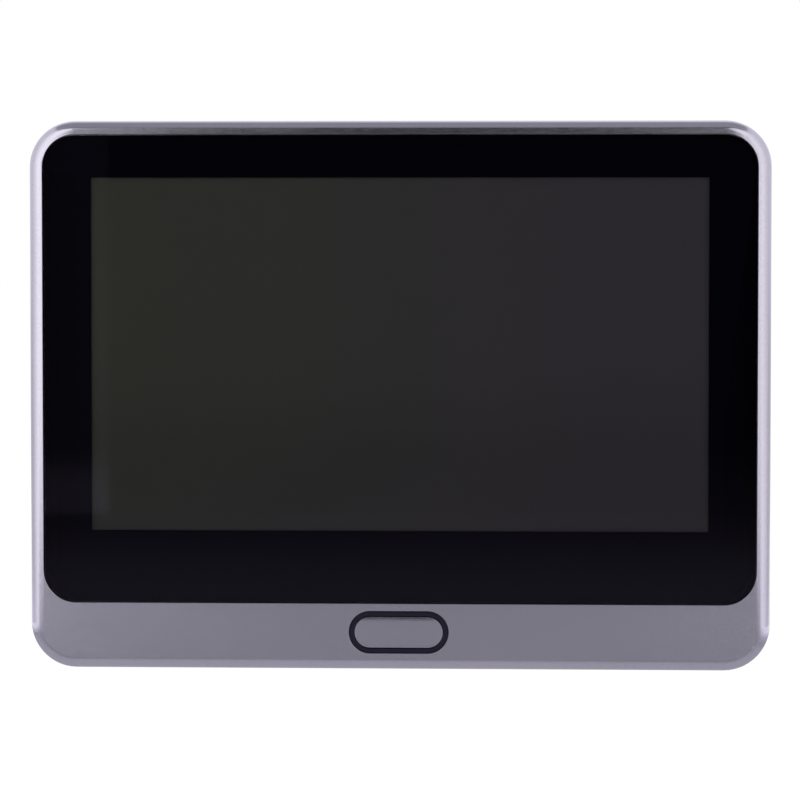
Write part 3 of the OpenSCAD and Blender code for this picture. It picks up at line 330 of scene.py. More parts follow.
# %% A material under construction
class Finish(Tree):
    """A material and the patterns that several finishes share."""

    def __init__(self, slot):
        self.material = bpy.data.materials.new(slot)
        super().__init__(self.material)
        self.place = self.node("TexCoord", out="Object")

    def axis(self, name):
        """One coordinate of the place, in metres."""
        return self.node("SeparateXYZ", {}, {0: self.place}, out=name)

    def grain(self, size, detail=2.0, stretch=(1, 1, 1)):
        """Soft noise from 0 to 1 with lumps of about that size, stretched along some axes."""
        spread = [1 / (size * s) for s in stretch]
        mapped = self.node("Mapping", {}, {"Vector": self.place, "Scale": spread})
        return self.node("TexNoise", {}, {"Vector": mapped, "Scale": 1.0, "Detail": detail})

    def specks(self, size):
        """A random grey from 0 to 1 in each cell of about that size."""
        cells = self.node("TexVoronoi", {}, {"Vector": self.place, "Scale": 1 / size}, out="Color")
        return self.node("SeparateColor", {}, {0: cells})

    def relief(self, height, depth):
        """A normal that is tilted by a height from 0 to 1, as deep as depth."""
        return self.node("Bump", {}, {"Height": height, "Distance": depth, "Strength": 1.0}, out="Normal")

    def surface(self, sockets):
        """Ends the tree in one shader."""
        shader = self.node("BsdfPrincipled", {}, sockets)
        self.node("OutputMaterial", {}, {"Surface": shader})
        return self.material


finishes = {}
print("a finish has grain, specks, relief and one shader")

# %% [markdown]
# ### Moulded plastics
# Most small pieces are injection moulded. Their steel tools are spark eroded, which leaves a fine even
# pebble, or polished, which leaves a gloss. One function makes them all: two close colours, the
# pebble's size and its depth.

# %% Moulded plastics
def moulded(slot, dark, light, roughness, pebble, depth, gloss=0.5):
    """Plastic with a pebbled skin."""
    tree = Finish(slot)
    skin = tree.grain(pebble, detail=3.0)
    cloud = tree.grain(9 * MM)
    finishes[slot] = tree.surface({
        "Base Color": tree.tint(0.5 * skin + 0.5 * cloud, dark, light),
        "Roughness": roughness - 0.06 + 0.12 * skin,
        "Normal": tree.relief(skin, depth),
        "Specular IOR Level": gloss,
    })


moulded("rear_plastic", shade(42, 42, 47), shade(58, 58, 64), 0.50, 0.28 * MM, 0.05 * MM)
moulded("ring_plastic", shade(7, 3, 27), shade(14, 7, 38), 0.32, 0.20 * MM, 0.004 * MM, gloss=0.3)
moulded("flap_plastic", shade(36, 36, 41), shade(52, 52, 58), 0.48, 0.24 * MM, 0.03 * MM)
moulded("switch_case", shade(176, 178, 182), shade(206, 208, 212), 0.38, 0.3 * MM, 0.006 * MM)
moulded("plunger_plastic", shade(26, 26, 30), shade(42, 42, 46), 0.36, 0.2 * MM, 0.006 * MM)
moulded("speaker_black", shade(24, 24, 27), shade(42, 42, 46), 0.55, 0.22 * MM, 0.015 * MM)
moulded("socket_cream", shade(208, 202, 184), shade(230, 225, 210), 0.42, 0.3 * MM, 0.008 * MM)
moulded("plug_black", shade(28, 28, 32), shade(46, 46, 50), 0.45, 0.22 * MM, 0.01 * MM)
moulded("lens_black", shade(13, 13, 15), shade(26, 26, 29), 0.58, 0.12 * MM, 0.008 * MM)
moulded("dome_plastic", shade(206, 204, 196), shade(228, 227, 220), 0.40, 0.35 * MM, 0.01 * MM)
print(len(finishes), "moulded plastics")

# %% [markdown]
# ### Metals
# Sheet steel shows rolling lines along its length, plated screws show a soft mottle and turned parts
# show fine rings. Lines are noise that is stretched along one axis: a lump that is 40 times longer than
# it is wide.

# %% Metals
def metal(slot, dark, light, roughness, line, stretch, depth):
    """Bare or plated metal with fine lines."""
    tree = Finish(slot)
    lines = tree.grain(line, detail=3.0, stretch=stretch)
    bloom = tree.grain(6 * MM, detail=4.0)
    finishes[slot] = tree.surface({
        "Base Color": tree.tint(0.6 * lines + 0.4 * bloom, dark, light),
        "Metallic": 1.0,
        "Roughness": roughness - 0.08 + 0.10 * lines + 0.06 * bloom,
        "Normal": tree.relief(lines, depth),
    })


metal("screw_steel", shade(150, 152, 158), shade(196, 198, 203), 0.30, 0.15 * MM, (1, 1, 1), 0.006 * MM)
metal("can_tin", shade(186, 189, 194), shade(216, 218, 222), 0.28, 0.2 * MM, (20, 1, 1), 0.003 * MM)
metal("tray_steel", shade(170, 173, 178), shade(204, 206, 210), 0.32, 0.2 * MM, (30, 1, 1), 0.003 * MM)
metal("bracket_steel", shade(160, 163, 169), shade(205, 207, 211), 0.36, 0.25 * MM, (40, 1, 1), 0.008 * MM)
metal("tube_brass", shade(176, 168, 142), shade(214, 208, 186), 0.30, 0.12 * MM, (1, 40, 1), 0.005 * MM)
metal("camera_alloy", shade(128, 127, 138), shade(168, 167, 178), 0.38, 0.14 * MM, (1, 40, 1), 0.004 * MM)
metal("bell_metal", shade(150, 149, 158), shade(194, 193, 202), 0.32, 0.12 * MM, (30, 1, 1), 0.004 * MM)
print(len(finishes), "finishes with the metals")

# %% [markdown]
# ### The monitor's paint
# The front moulding is plastic under a grey paint with fine metal flakes. It shines like a metal where
# a lamp is mirrored and stays a soft lavender grey elsewhere. Cells of a tenth of a millimetre stand
# for the flakes: each is a little lighter or darker, and slightly tilted through a very shallow bump.

# %% Flake paint
def flake_paint(slot, dark, light, roughness):
    tree = Finish(slot)
    flakes = tree.specks(0.11 * MM)
    cloud = tree.grain(14 * MM)
    orange_peel = tree.grain(0.9 * MM, detail=1.0)
    finishes[slot] = tree.surface({
        "Base Color": tree.tint(0.55 * flakes + 0.45 * cloud, dark, light),
        "Metallic": 1.0,
        "Roughness": roughness - 0.04 + 0.05 * flakes + 0.05 * cloud,
        "Normal": tree.relief(0.5 * flakes + orange_peel, 0.0025 * MM),
        "Coat Weight": 0.25,
        "Coat Roughness": 0.2,
    })


flake_paint("bezel_paint", shade(177, 174, 194), shade(197, 194, 213), 0.14)
print("flake paint on the front moulding and the button")

# %% [markdown]
# ### Glass, ink and screen
# The cover is clear glass with a black border printed on its back. We could use a glass shader, but
# then no lamp light would reach the screen behind it. A mix of a clear and a mirror shader lets the
# light through. Coated glass mirrors one or two percent from the front and all of it at a grazing
# slant, and the fifth power of the slant follows that curve well on both sides of the sheet. The screen
# is off: a dark polariser, olive at the left and plum at the right, with painted shade towards the bottom.

# %% Glass, ink and screen
def clear_glass(slot, straight, tint, veil):
    """Clear sheet: a mirror at a slant, and a window with a veil from the front."""
    tree = Finish(slot)
    smear = tree.grain(16 * MM, detail=3.0)
    mirror = tree.node("BsdfPrincipled", {}, {
        "Base Color": tint, "Metallic": 1.0, "Roughness": 0.01 + 0.02 * smear})
    window = tree.node("BsdfTransparent", {}, {"Color": veil})
    slant = tree.node("LayerWeight", {}, {"Blend": 0.5}, out="Facing")
    share = straight + (1 - straight) * slant ** 5
    both = tree.node("MixShader", {}, {0: share, 1: window, 2: mirror})
    tree.node("OutputMaterial", {}, {"Surface": both})
    finishes[slot] = tree.material


def dark_screen(slot):
    """A switched-off screen whose tint shifts from side to side, with painted shade that darkens it towards
    the bottom.
    """
    tree = Finish(slot)
    olive_x, plum_x, shade_from_z, shade_to_z, painted_shade = -48 * MM, 30 * MM, 10 * MM, -22 * MM, 0.55
    across = tree.node("MapRange", {}, {0: tree.axis("X"), 1: olive_x, 2: plum_x, 3: 0.0, 4: 1.0})
    # Painted shade: the screen's colour darkens towards its bottom.
    down = tree.node("MapRange", {"interpolation_type": "SMOOTHSTEP"},
                     {0: tree.axis("Z"), 1: shade_from_z, 2: shade_to_z, 3: 0.0, 4: painted_shade})
    haze = tree.grain(0.5 * MM)
    tinted = tree.tint(across, shade(46, 47, 39), shade(46, 41, 47))
    finishes[slot] = tree.surface({
        "Base Color": tree.tint(down, tinted, shade(27, 24, 26)),
        "Roughness": 0.46 + 0.08 * haze,
        "Specular IOR Level": 0.1,
    })


def black_ink(slot):
    """Printed ink seen through the glass."""
    tree = Finish(slot)
    screen_dots = tree.grain(0.25 * MM)
    finishes[slot] = tree.surface({
        "Base Color": tree.tint(screen_dots, shade(3, 2, 7), shade(5, 4, 10)),
        "Roughness": 0.5 + 0.1 * screen_dots,
        "Specular IOR Level": 0.0,
    })


clear_glass("cover_glass", 0.016, tint=(0.78, 0.70, 1.0, 1), veil=(0.94, 0.95, 0.95, 1))
clear_glass("lens_glass", 0.05, tint=(0.92, 0.95, 1.0, 1), veil=(0.86, 0.87, 0.90, 1))
clear_glass("coated_lens", 0.12, tint=(0.42, 0.36, 0.95, 1), veil=(0.30, 0.34, 0.46, 1))
dark_screen("screen")
black_ink("black_ink")
print(len(finishes), "finishes with the glass and the screen")

# %% [markdown]
# ### Soft and printed materials
# Rubber and foam scatter light and hardly shine. The ribbons are films with copper lines under them,
# the circuit boards are green resist over copper, and the battery is wrapped in a dull silver foil.
# Each gets its own pattern.

# %% Rubber, foam and tape
def soft_skin(slot, dark, light, roughness, lump, depth):
    """Rubber, foam or tape: dull, with open pores where the lumps are low."""
    tree = Finish(slot)
    pores = tree.node("TexVoronoi", {}, {"Vector": tree.place, "Scale": 1 / lump})
    fine = tree.grain(lump / 3)
    finishes[slot] = tree.surface({
        "Base Color": tree.tint(0.6 * pores + 0.4 * fine, dark, light),
        "Roughness": roughness - 0.05 + 0.1 * fine,
        "Normal": tree.relief(pores + 0.3 * fine, depth),
        "Specular IOR Level": 0.3,
    })


soft_skin("rubber_black", shade(22, 22, 24), shade(40, 40, 42), 0.72, 0.30 * MM, 0.01 * MM)
soft_skin("foam_pad", shade(26, 26, 29), shade(54, 54, 58), 0.92, 0.55 * MM, 0.12 * MM)
soft_skin("tape", shade(16, 16, 19), shade(30, 30, 34), 0.80, 0.40 * MM, 0.02 * MM)
print(len(finishes), "finishes with the soft ones")

# %% Films, boards and foil
def stripes(tree, axis, pitch, share):
    """1 on a share of every pitch along an axis, 0 between."""
    turn = tree.node("Math", {"operation": "FRACT"}, {0: tree.axis(axis) * (1 / pitch)})
    return turn < share


def lined_film(slot, film, line, pitch):
    """A flat ribbon: copper lines along it, seen through its film."""
    tree = Finish(slot)
    lines = stripes(tree, "X", pitch, 0.55)
    cloud = tree.grain(3 * MM)
    finishes[slot] = tree.surface({
        "Base Color": tree.tint(0.75 * lines + 0.12 * cloud, film, line),
        "Roughness": 0.30 + 0.12 * cloud + 0.08 * lines,
        "Normal": tree.relief(lines, 0.03 * MM),
    })


def circuit_board(slot):
    """Green resist over copper lines and pads."""
    tree = Finish(slot)
    along = stripes(tree, "X", 0.8 * MM, 0.4)
    up = stripes(tree, "Z", 0.8 * MM, 0.4)
    area = tree.specks(7 * MM)
    lines = along * (area > 0.55) + up * (area < 0.45)
    weave = tree.grain(0.5 * MM)
    finishes[slot] = tree.surface({
        "Base Color": tree.tint(0.6 * lines + 0.25 * weave, shade(20, 74, 42), shade(58, 128, 78)),
        "Roughness": 0.34 + 0.12 * weave,
        "Normal": tree.relief(lines, 0.03 * MM),
    })


def battery_wrap(slot):
    """Dull silver foil with faint creases."""
    tree = Finish(slot)
    creases = tree.grain(5 * MM, detail=5.0, stretch=(1, 1, 3))
    finishes[slot] = tree.surface({
        "Base Color": tree.tint(creases, shade(146, 150, 156), shade(190, 193, 198)),
        "Metallic": 0.8,
        "Roughness": 0.34 + 0.2 * creases,
        "Normal": tree.relief(creases, 0.25 * MM),
    })


lined_film("ribbon_film", shade(226, 222, 206), shade(178, 172, 152), 0.5 * MM)
lined_film("copper_flex", shade(196, 116, 34), shade(150, 78, 22), 0.5 * MM)
circuit_board("board_green")
battery_wrap("battery_wrap")
print(len(finishes), "finishes with the films and boards")

# %% Gloss, wire, chip, lamps and light ring
def glossy(slot, dark, light, roughness, lump, coat):
    """A polished moulding or a lacquer, with faint haze."""
    tree = Finish(slot)
    haze = tree.grain(lump, detail=3.0)
    finishes[slot] = tree.surface({
        "Base Color": tree.tint(haze, dark, light),
        "Roughness": roughness + 0.06 * haze,
        "Normal": tree.relief(haze, 0.002 * MM),
        "Coat Weight": coat,
        "Coat Roughness": 0.04,
    })


def clouded_clear(slot, dark, light, roughness, through):
    """A moulding that passes some light and blurs it."""
    tree = Finish(slot)
    cloud = tree.grain(1.5 * MM, detail=3.0)
    finishes[slot] = tree.surface({
        "Base Color": tree.tint(cloud, dark, light),
        "Roughness": roughness + 0.1 * cloud,
        "Transmission Weight": through,
        "IOR": 1.5,
    })


glossy("gloss_black", shade(8, 8, 10), shade(15, 15, 18), 0.09, 8 * MM, 0.6)
glossy("lead_red", shade(150, 30, 26), shade(186, 48, 40), 0.36, 0.6 * MM, 0.0)
glossy("sensor_chip", shade(34, 44, 58), shade(66, 60, 84), 0.12, 1.2 * MM, 0.8)
clouded_clear("lamp_epoxy", shade(58, 34, 46), shade(84, 52, 66), 0.12, 0.5)
clouded_clear("ring_clear", shade(206, 222, 230), shade(228, 238, 242), 0.3, 0.35)
missing = sorted(set(slot_of.values()) - set(finishes))
print(len(finishes), "finishes, none missing" if not missing else missing)

# %% [markdown]
# ## Every solid gets its finish
# The record names one material slot for each solid. A loop puts the finish of that slot on the solid.

# %% Dress the solids
for name, solid in frame["nodes"].items():
    solid.data.materials.clear()
    solid.data.materials.append(finishes[slot_of[name]])
print(len(frame["nodes"]), "solids dressed")

# %% [markdown]
# ## Eased edges
# A solid has knife edges, and no real piece has: moulds and machinists ease them by a tenth of a
# millimetre, and that thin round is what catches the light. We could put a Bevel modifier on each
# solid, but the solids are loose triangles. So a copy is merged, every sharp edge of it is bevelled,
# and a Weighted Normal modifier keeps its flat faces flat. One step makes a plain chamfer, whose crisp
# borders keep long thin triangles from bending the shading of a flat face. The loaded triangles also
# bring stored normals, which no longer fit once the edges have moved, so they are dropped. The copy
# then stands for the solid.

# %% Show a piece
crease = math.radians(32)


def body_of(node):
    return frame["nodes"][node]["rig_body"]


def show(name, mesh, node, rides=True, sharp=crease, finish=None):
    """Makes a piece from a finished bmesh. It stands for a solid and takes that solid's finish and body."""
    data = bpy.data.meshes.new(name)
    mesh.to_mesh(data)
    mesh.free()
    stored = data.attributes.get("custom_normal")
    if stored:
        data.attributes.remove(stored)
    data.polygons.foreach_set("use_smooth", [True] * len(data.polygons))
    data.set_sharp_from_angle(angle=sharp)
    data.materials.append(finishes[finish or slot_of[node]])
    made = bpy.data.objects.new(name, data)
    bpy.context.scene.collection.objects.link(made)
    made.modifiers.new("flat_faces", "WEIGHTED_NORMAL").keep_sharp = True
    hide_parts(node)
    if rides:
        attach(made, body_of(node))
    print(name, len(data.polygons), "faces for", node)
    return made


# %% Merge and ease
weld, touch = 0.001 * MM, 0.01 * MM


def round_edges(mesh, radius, steps=2, only=lambda edge: True):
    """Rounds every edge that turns by more than the crease angle."""
    sharp = [edge for edge in mesh.edges
             if len(edge.link_faces) == 2 and edge.calc_face_angle() > crease and only(edge)]
    bmesh.ops.bevel(mesh, geom=sharp, offset=radius * MM, offset_type="OFFSET", segments=steps, profile=0.5,
                    affect="EDGES", material=-1, clamp_overlap=False)
    return mesh


def merged(node):
    """A copy of a solid whose triangles share their corners."""
    mesh = bmesh.new()
    mesh.from_mesh(frame["nodes"][node].data)
    bmesh.ops.remove_doubles(mesh, verts=mesh.verts, dist=weld)
    return mesh


print("edges that turn by more than", round(math.degrees(crease)), "degrees are eased")

# %% [markdown]
# ### The front moulding
# Its narrow rim beside and above the glass is not quite flat: it falls away outwards by a degree or two
# before it turns into the round, so it mirrors the bright wings while the glass beside it mirrors the
# dark cloth. Bisect cuts the rim free from the chin, and the rim's outer rows are lowered by a fiftieth
# of a millimetre. The fall ends in the lower corners, so the chin stays level. The edges round the
# glass and the button get a plain chamfer, because a round one would bend the shading of the flat chin
# beside it.

# %% Front moulding
def cut_across(mesh, faces, where, direction):
    """Cuts some faces along a plane, and leaves both sides in place."""
    near = list(dict.fromkeys(item for face in faces for item in (*face.verts, *face.edges, face)))
    bmesh.ops.bisect_plane(mesh, geom=near, dist=0.0005 * MM, plane_co=where, plane_no=direction)


front_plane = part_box("front_bezel")[0].y


def on_front(edge):
    """True for an edge that lies in the monitor's front plane."""
    return all(abs(vert.co.y - front_plane) < touch for vert in edge.verts)


rim_w, rim_fall, round_r, corner_r = 2.1, 0.02, 1.65, 7.1
fall_start, fall_length, fall_reach, front_ease = -38.5, 3.4, 1.75, 0.08
half_w, half_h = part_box("front_bezel")[1].x / MM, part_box("front_bezel")[1].z / MM
glass_x = half_w - rim_w
bezel = merged("front_bezel")


def inside_edge(place):
    """How far a place lies inside the monitor's rounded outline, in millimetres."""
    across = abs(place.x) / MM - half_w + corner_r
    up = abs(place.z) / MM - half_h + corner_r
    return corner_r - math.hypot(max(across, 0), max(up, 0)) - min(max(across, up), 0)


def flat_faces():
    return [face for face in bezel.faces
            if face.normal.y < -0.99 and all(map(on_front, face.edges))]


for side in (-glass_x, glass_x):
    cut_across(bezel, flat_faces(), (side * MM, 0, 0), (1, 0, 0))
for vert in bezel.verts:
    sunk = (vert.co.y - front_plane) / MM
    if sunk < round_r and inside_edge(vert.co) < fall_reach:
        share = min(max((vert.co.z / MM - fall_start) / fall_length, 0), 1)
        vert.co.y += share * rim_fall * (1 - sunk / round_r) * MM
show("front_bezel_eased", round_edges(bezel, front_ease, steps=1, only=on_front), "front_bezel")

# %% Ease the edges of the other hard pieces
ease = {
    "rear_housing": 0.12, "button_ring": 0.08,
    "mounting_bracket": 0.18, "clamp_sleeve": 0.15, "camera_housing": 0.12, "camera_face": 0.12,
    "bell_ring": 0.15, "lens_window": 0.18, "usb_port": 0.06, "card_socket": 0.06,
}
for name, radius in ease.items():
    show(name + "_eased", round_edges(merged(name), radius, steps=1), name)

# %% [markdown]
# ### The cover glass
# The side faces of the sheet get the black ink as painted shade for the dark gap between the glass and
# the moulding. A second material on the side faces does that, and the thin chamfer in front of them stays
# clear.

# %% Cover glass
glass_ease = 0.05
pane = show("cover_glass_eased", round_edges(merged("cover_glass"), glass_ease, steps=1), "cover_glass")
# The ink on the side faces is painted shade for the gap round the glass.
pane.data.materials.append(finishes["black_ink"])
for polygon in pane.data.polygons:
    polygon.material_index = int(abs(polygon.normal.y) < 0.5)

# %% [markdown]
# ## The power button
# The cap is painted like the front. Its long edges fall away in a slight crown, so its upper edge fades
# to dark, and its round ends stay crisp. We could bend the whole cap, but two hundredths of a
# millimetre are enough: the front's triangles are dissolved into one face, Bisect cuts rows into it,
# and the rows near the edge are lowered along a parabola. Whole rows shade evenly, where triangles
# would look smudged.

# %% Crowned power button
crown_from, crown_drop, cap_ease = 0.68, 0.018, 0.06
crown_rows = (0.68, 0.76, 0.84, 0.9, 0.95)
cap_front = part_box("power_button")[0].y
cap = merged("power_button")


def cap_faces():
    return [face for face in cap.faces
            if face.normal.y < -0.9 and face.calc_center_median().y < cap_front + touch]


bmesh.ops.dissolve_faces(cap, faces=cap_faces())
heights = [vert.co.z for face in cap_faces() for vert in face.verts]
cap_middle, cap_half = (max(heights) + min(heights)) / 2, (max(heights) - min(heights)) / 2
for row in crown_rows:
    for side in (-1, 1):
        cut_across(cap, cap_faces(), (0, 0, cap_middle + side * row * cap_half), (0, 0, 1))
for vert in {vert for face in cap_faces() for vert in face.verts}:
    outwards = max(abs(vert.co.z - cap_middle) / cap_half - crown_from, 0) / (1 - crown_from)
    vert.co.y += crown_drop * MM * outwards ** 2
show("power_button_crowned", round_edges(cap, cap_ease, steps=1), "power_button")

# %% [markdown]
# ## The port cover
# A thin flap closes the charging port. Three shallow grooves near its free end give a fingernail
# something to catch. We cut lines across the solid's outer face with Bisect, then push the strips
# between them inwards. Extrude has to be given the strips' edges as well as their faces, or it leaves
# the old faces behind as a lid.

# %% Finger grooves in the port cover
groove_rows = [(21.6, 22.3), (23.0, 23.7), (24.4, 25.1)]
groove_side, groove_depth, cover_ease = 0.9, 0.22, 0.07
cover_lo, cover_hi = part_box("port_cover")
cover = merged("port_cover")


def outer_faces(mesh):
    return [face for face in mesh.faces
            if face.normal.x > 0.9 and face.calc_center_median().x > cover_hi.x - touch]


def pushed(mesh, faces, vec):
    """Pushes some faces of a mesh inwards and gives back the corners of the new floor."""
    edges = list(dict.fromkeys(edge for face in faces for edge in face.edges))
    made = bmesh.ops.extrude_face_region(mesh, geom=faces + edges)["geom"]
    corners = [item for item in made if isinstance(item, bmesh.types.BMVert)]
    bmesh.ops.translate(mesh, verts=corners, vec=Vector(vec) * MM)
    return corners


for row in groove_rows:
    for height in row:
        cut_across(cover, outer_faces(cover), (0, 0, height * MM), (0, 0, 1))
groove_ends = (cover_lo.y + groove_side * MM, cover_hi.y - groove_side * MM)
for depth in groove_ends:
    cut_across(cover, outer_faces(cover), (0, depth, 0), (0, 1, 0))
for low, high in groove_rows:
    strip = [face for face in outer_faces(cover)
             if low * MM < face.calc_center_median().z < high * MM
             and groove_ends[0] < face.calc_center_median().y < groove_ends[1]]
    pushed(cover, strip, (-groove_depth, 0, 0))
show("port_cover_grooved", round_edges(cover, cover_ease, steps=1), "port_cover")

# %% [markdown]
# ## Turned pieces
# The bell button, the gasket, the tail and the lens are round: on the real object they come from a
# lathe or from a round mould. We could stack cylinders, but Spin does what a lathe does. Half a
# profile, given as radius and height along the axis, goes once round it, and the edges are eased
# afterwards, all at once.

# %% A lathe
def turned(profile, steps=64, closed=False):
    """Spins a profile of (radius, height) points, in millimetres, round the Y axis."""
    mesh = bmesh.new()
    verts = [mesh.verts.new((radius * MM, height * MM, 0)) for radius, height in profile]
    following = verts[1:] + verts[:1] if closed else verts[1:]
    edges = [mesh.edges.new(pair) for pair in zip(verts, following)]
    bmesh.ops.spin(mesh, geom=verts + edges, cent=(0, 0, 0), axis=(0, 1, 0), dvec=(0, 0, 0),
                   angle=math.tau, steps=steps, use_merge=True)
    bmesh.ops.remove_doubles(mesh, verts=mesh.verts, dist=weld)
    bmesh.ops.recalc_face_normals(mesh, faces=mesh.faces)
    return mesh


def moved(mesh, x=0.0, y=0.0, z=0.0):
    bmesh.ops.translate(mesh, verts=mesh.verts, vec=Vector((x, y, z)) * MM)
    return mesh


def gathered(meshes):
    """Several meshes as one."""
    whole = bmesh.new()
    for mesh in meshes:
        part = bpy.data.meshes.new("part")
        mesh.to_mesh(part)
        mesh.free()
        whole.from_mesh(part)
        bpy.data.meshes.remove(part)
    return whole


def middle(node):
    """The middle of a solid's box, in millimetres."""
    low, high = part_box(node)
    return (low + high) / 2 / MM


def shares(rings):
    """Even shares from 1 down to 0, for the rings of a dish or a dome."""
    return [1 - i / rings for i in range(rings + 1)]


wide_steps, small_steps = 96, 40
print("a full turn has", small_steps, "steps on small pieces and", wide_steps, "on wide ones")

# %% [markdown]
# ### Bell button
# Visitors press it with a fingertip, so its face is a shallow dish inside a flat rim, turned in
# aluminium. A flange behind the face keeps it from falling out, and a stem reaches the switch.

# %% Bell button
cap_r, flange_r, stem_r = 8.5, 9.2, 1.6
stem_y, flange_low, flange_top, cap_y = 51.1, 53.9, 54.6, 58.1
dish_r, dish_drop, dish_rise, rim_slope, bell_ease = 7.4, 0.6, 0.85, 0.35, 0.14
stem = [(0, stem_y), (stem_r, stem_y), (stem_r, flange_low)]
flange = [(flange_r, flange_low), (flange_r, flange_top), (cap_r, flange_top)]
rim = [(cap_r, cap_y), (dish_r + rim_slope, cap_y)]
dish = [(dish_r * share, cap_y - dish_drop + dish_rise * dish_drop * share ** 2) for share in shares(8)]
bell = round_edges(turned(stem + flange + rim + dish, steps=wide_steps), bell_ease)
show("bell_button_turned", moved(bell, z=middle("bell_ring").z), "bell_button")

# %% [markdown]
# ### Rubber seals
# A flat gasket keeps rain out of the door's hole. Its door side has two grooves, so that the rubber
# presses hard along narrow lands, and its rim is a soft lip. A thin cord of rubber seals the black
# face, and a small cup holds the microphone. All are moulded, so each profile gets generous rounds.

# %% Gasket, face seal and microphone boot
door_y, gasket_bore_r, gasket_r, gasket_t = 40.0, 7.0, 29.0, 1.5
groove_starts, groove_w, groove_wall, groove_sunk = (10.0, 18.0), 2.6, 0.4, 0.55
groove = [(0, 0), (groove_wall, groove_sunk), (groove_w - groove_wall, groove_sunk), (groove_w, 0)]
grooves = [(start + across, door_y + sunk) for start in groove_starts for across, sunk in groove]
lip_w, lip_rise, lip_ease, gasket_ease = 1.4, 0.75, 0.3, 0.12
lip = [(gasket_r - lip_w, door_y), (gasket_r, door_y + lip_rise),
       (gasket_r, door_y + gasket_t - lip_ease), (gasket_r - lip_ease, door_y + gasket_t)]
bore = [(gasket_bore_r, door_y + gasket_t), (gasket_bore_r, door_y)]
gasket = turned(grooves + lip + bore, steps=wide_steps, closed=True)
show("gasket_moulded", round_edges(gasket, gasket_ease), "camera_gasket")

seal_in, seal_out, seal_low, seal_high, seal_ease = 26.5, 27.85, 55.0, 55.5, 0.2
seal = turned([(seal_in, seal_low), (seal_out, seal_low), (seal_out, seal_high), (seal_in, seal_high)],
              steps=wide_steps, closed=True)
show("face_seal_moulded", round_edges(seal, seal_ease, steps=3), "face_seal")

boot_r, boot_l, boot_bore_r, sound_r, boot_wall = 2.3, 2.7, 1.82, 0.6, 0.5
mouth_l, mouth_ease, boot_ease = 2.3, 0.2, 0.1
boot = turned([(sound_r, 0), (boot_r, 0), (boot_r, mouth_l), (boot_r - mouth_ease, boot_l),
               (boot_bore_r, boot_l), (boot_bore_r, boot_wall), (sound_r, boot_wall)],
              steps=small_steps, closed=True)
bmesh.ops.rotate(boot, verts=boot.verts, cent=(0, 0, 0),
                 matrix=Matrix.Rotation(math.radians(90), 3, "X"))
boot_middle = middle("mic_boot")
boot_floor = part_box("mic_boot")[0].z / MM
moved(round_edges(boot, boot_ease), boot_middle.x, boot_middle.y, boot_floor)
show("mic_boot_moulded", boot, "mic_boot")

# %% [markdown]
# ### Microphones
# Each microphone is a small tin can whose rim is rolled over a disc of black felt, which lets sound in
# and keeps dust out. One profile is spun for both: one looks out through the camera's face, the other
# down through its boot. The felt is a second material on the sunk front.

# %% Microphones
mic_r, mic_l, mic_rim, felt_sunk, mic_foot, mic_roll = 1.8, 2.2, 0.45, 0.12, 0.12, 0.15
can_wall = [(0, 0), (mic_r - mic_foot, 0), (mic_r, mic_foot), (mic_r, mic_l - mic_roll)]
can_rim = [(mic_r - mic_roll, mic_l), (mic_r - mic_rim, mic_l), (mic_r - mic_rim, mic_l - felt_sunk)]
mic_profile = can_wall + can_rim + [(0, mic_l - felt_sunk)]
outwards, downwards = Vector((0, 1, 0)), Vector((0, 0, -1))
for node, turn, facing in (("camera_mic", 0, outwards), ("microphone", -90, downwards)):
    can = moved(turned(mic_profile, steps=small_steps), y=-mic_l / 2)
    bmesh.ops.rotate(can, verts=can.verts, cent=(0, 0, 0),
                     matrix=Matrix.Rotation(math.radians(turn), 3, "X"))
    capsule = show(node + "_felted", moved(can, *middle(node)), node)
    capsule.data.materials.append(finishes["tape"])
    for polygon in capsule.data.polygons:
        offset = polygon.center / MM - middle(node)
        from_axis = (offset - offset.dot(facing) * facing).length
        polygon.material_index = int(polygon.normal.dot(facing) > 0.9 and from_axis < mic_r - mic_rim)

# %% [markdown]
# ### The tail's thread
# The camera's tail screws into the sleeve and clamps the door between the two units, so it is threaded
# along its whole length. Spin climbs if it gets a step along its axis, and a blunt V that climbs is a
# thread. The tube under it has the thread's root diameter and a flange that sits inside the housing.

# %% Threaded tail
def ridge(root, crest, pitch, start, turns, steps):
    """The ridge of a thread round the Y axis, sunk a little into the bar that carries it."""
    sunk, foot_half, crest_half = 0.08, 0.42, 0.09
    shape = [(root - sunk, -foot_half), (crest, -crest_half), (crest, crest_half), (root - sunk, foot_half)]
    mesh = bmesh.new()
    verts = [mesh.verts.new((radius * MM, (start + share * pitch) * MM, 0)) for radius, share in shape]
    edges = [mesh.edges.new(pair) for pair in zip(verts, verts[1:] + verts[:1])]
    bmesh.ops.spin(mesh, geom=verts + edges, cent=(0, 0, 0), axis=(0, 1, 0),
                   dvec=(0, pitch / steps * MM, 0), angle=math.tau * turns, steps=steps * turns,
                   use_merge=False)
    bmesh.ops.holes_fill(mesh, edges=[edge for edge in mesh.edges if edge.is_boundary], sides=4)
    bmesh.ops.recalc_face_normals(mesh, faces=mesh.faces)
    return mesh


tail_low, tail_seat, tail_end = 6.0, 44.0, 45.2
tail_bore_r, tail_root_r, tail_crest_r, tail_flange_r = 4.8, 5.75, 6.3, 10.0
tail_pitch, tail_turns, thread_from = 1.5, 23, 1.4
nose_r, nose_l, tail_ease = 0.4, 0.6, 0.15
tube = turned([(tail_bore_r, tail_low), (tail_root_r - nose_r, tail_low), (tail_root_r, tail_low + nose_l),
               (tail_root_r, tail_seat), (tail_flange_r, tail_seat), (tail_flange_r, tail_end),
               (tail_bore_r, tail_end)], closed=True)
round_edges(tube, tail_ease)
thread = ridge(tail_root_r, tail_crest_r, tail_pitch, tail_low + thread_from, tail_turns, small_steps)
show("tail_threaded", gathered([tube, thread]), "camera_tail")

# %% [markdown]
# ### Screws
# Pan heads with a cross recess close the housings. The recess is cut like the cover's grooves: Bisect
# draws a cross on the domed head, and the faces inside the cross are pushed down and drawn in, as the
# driver's tip is tapered.

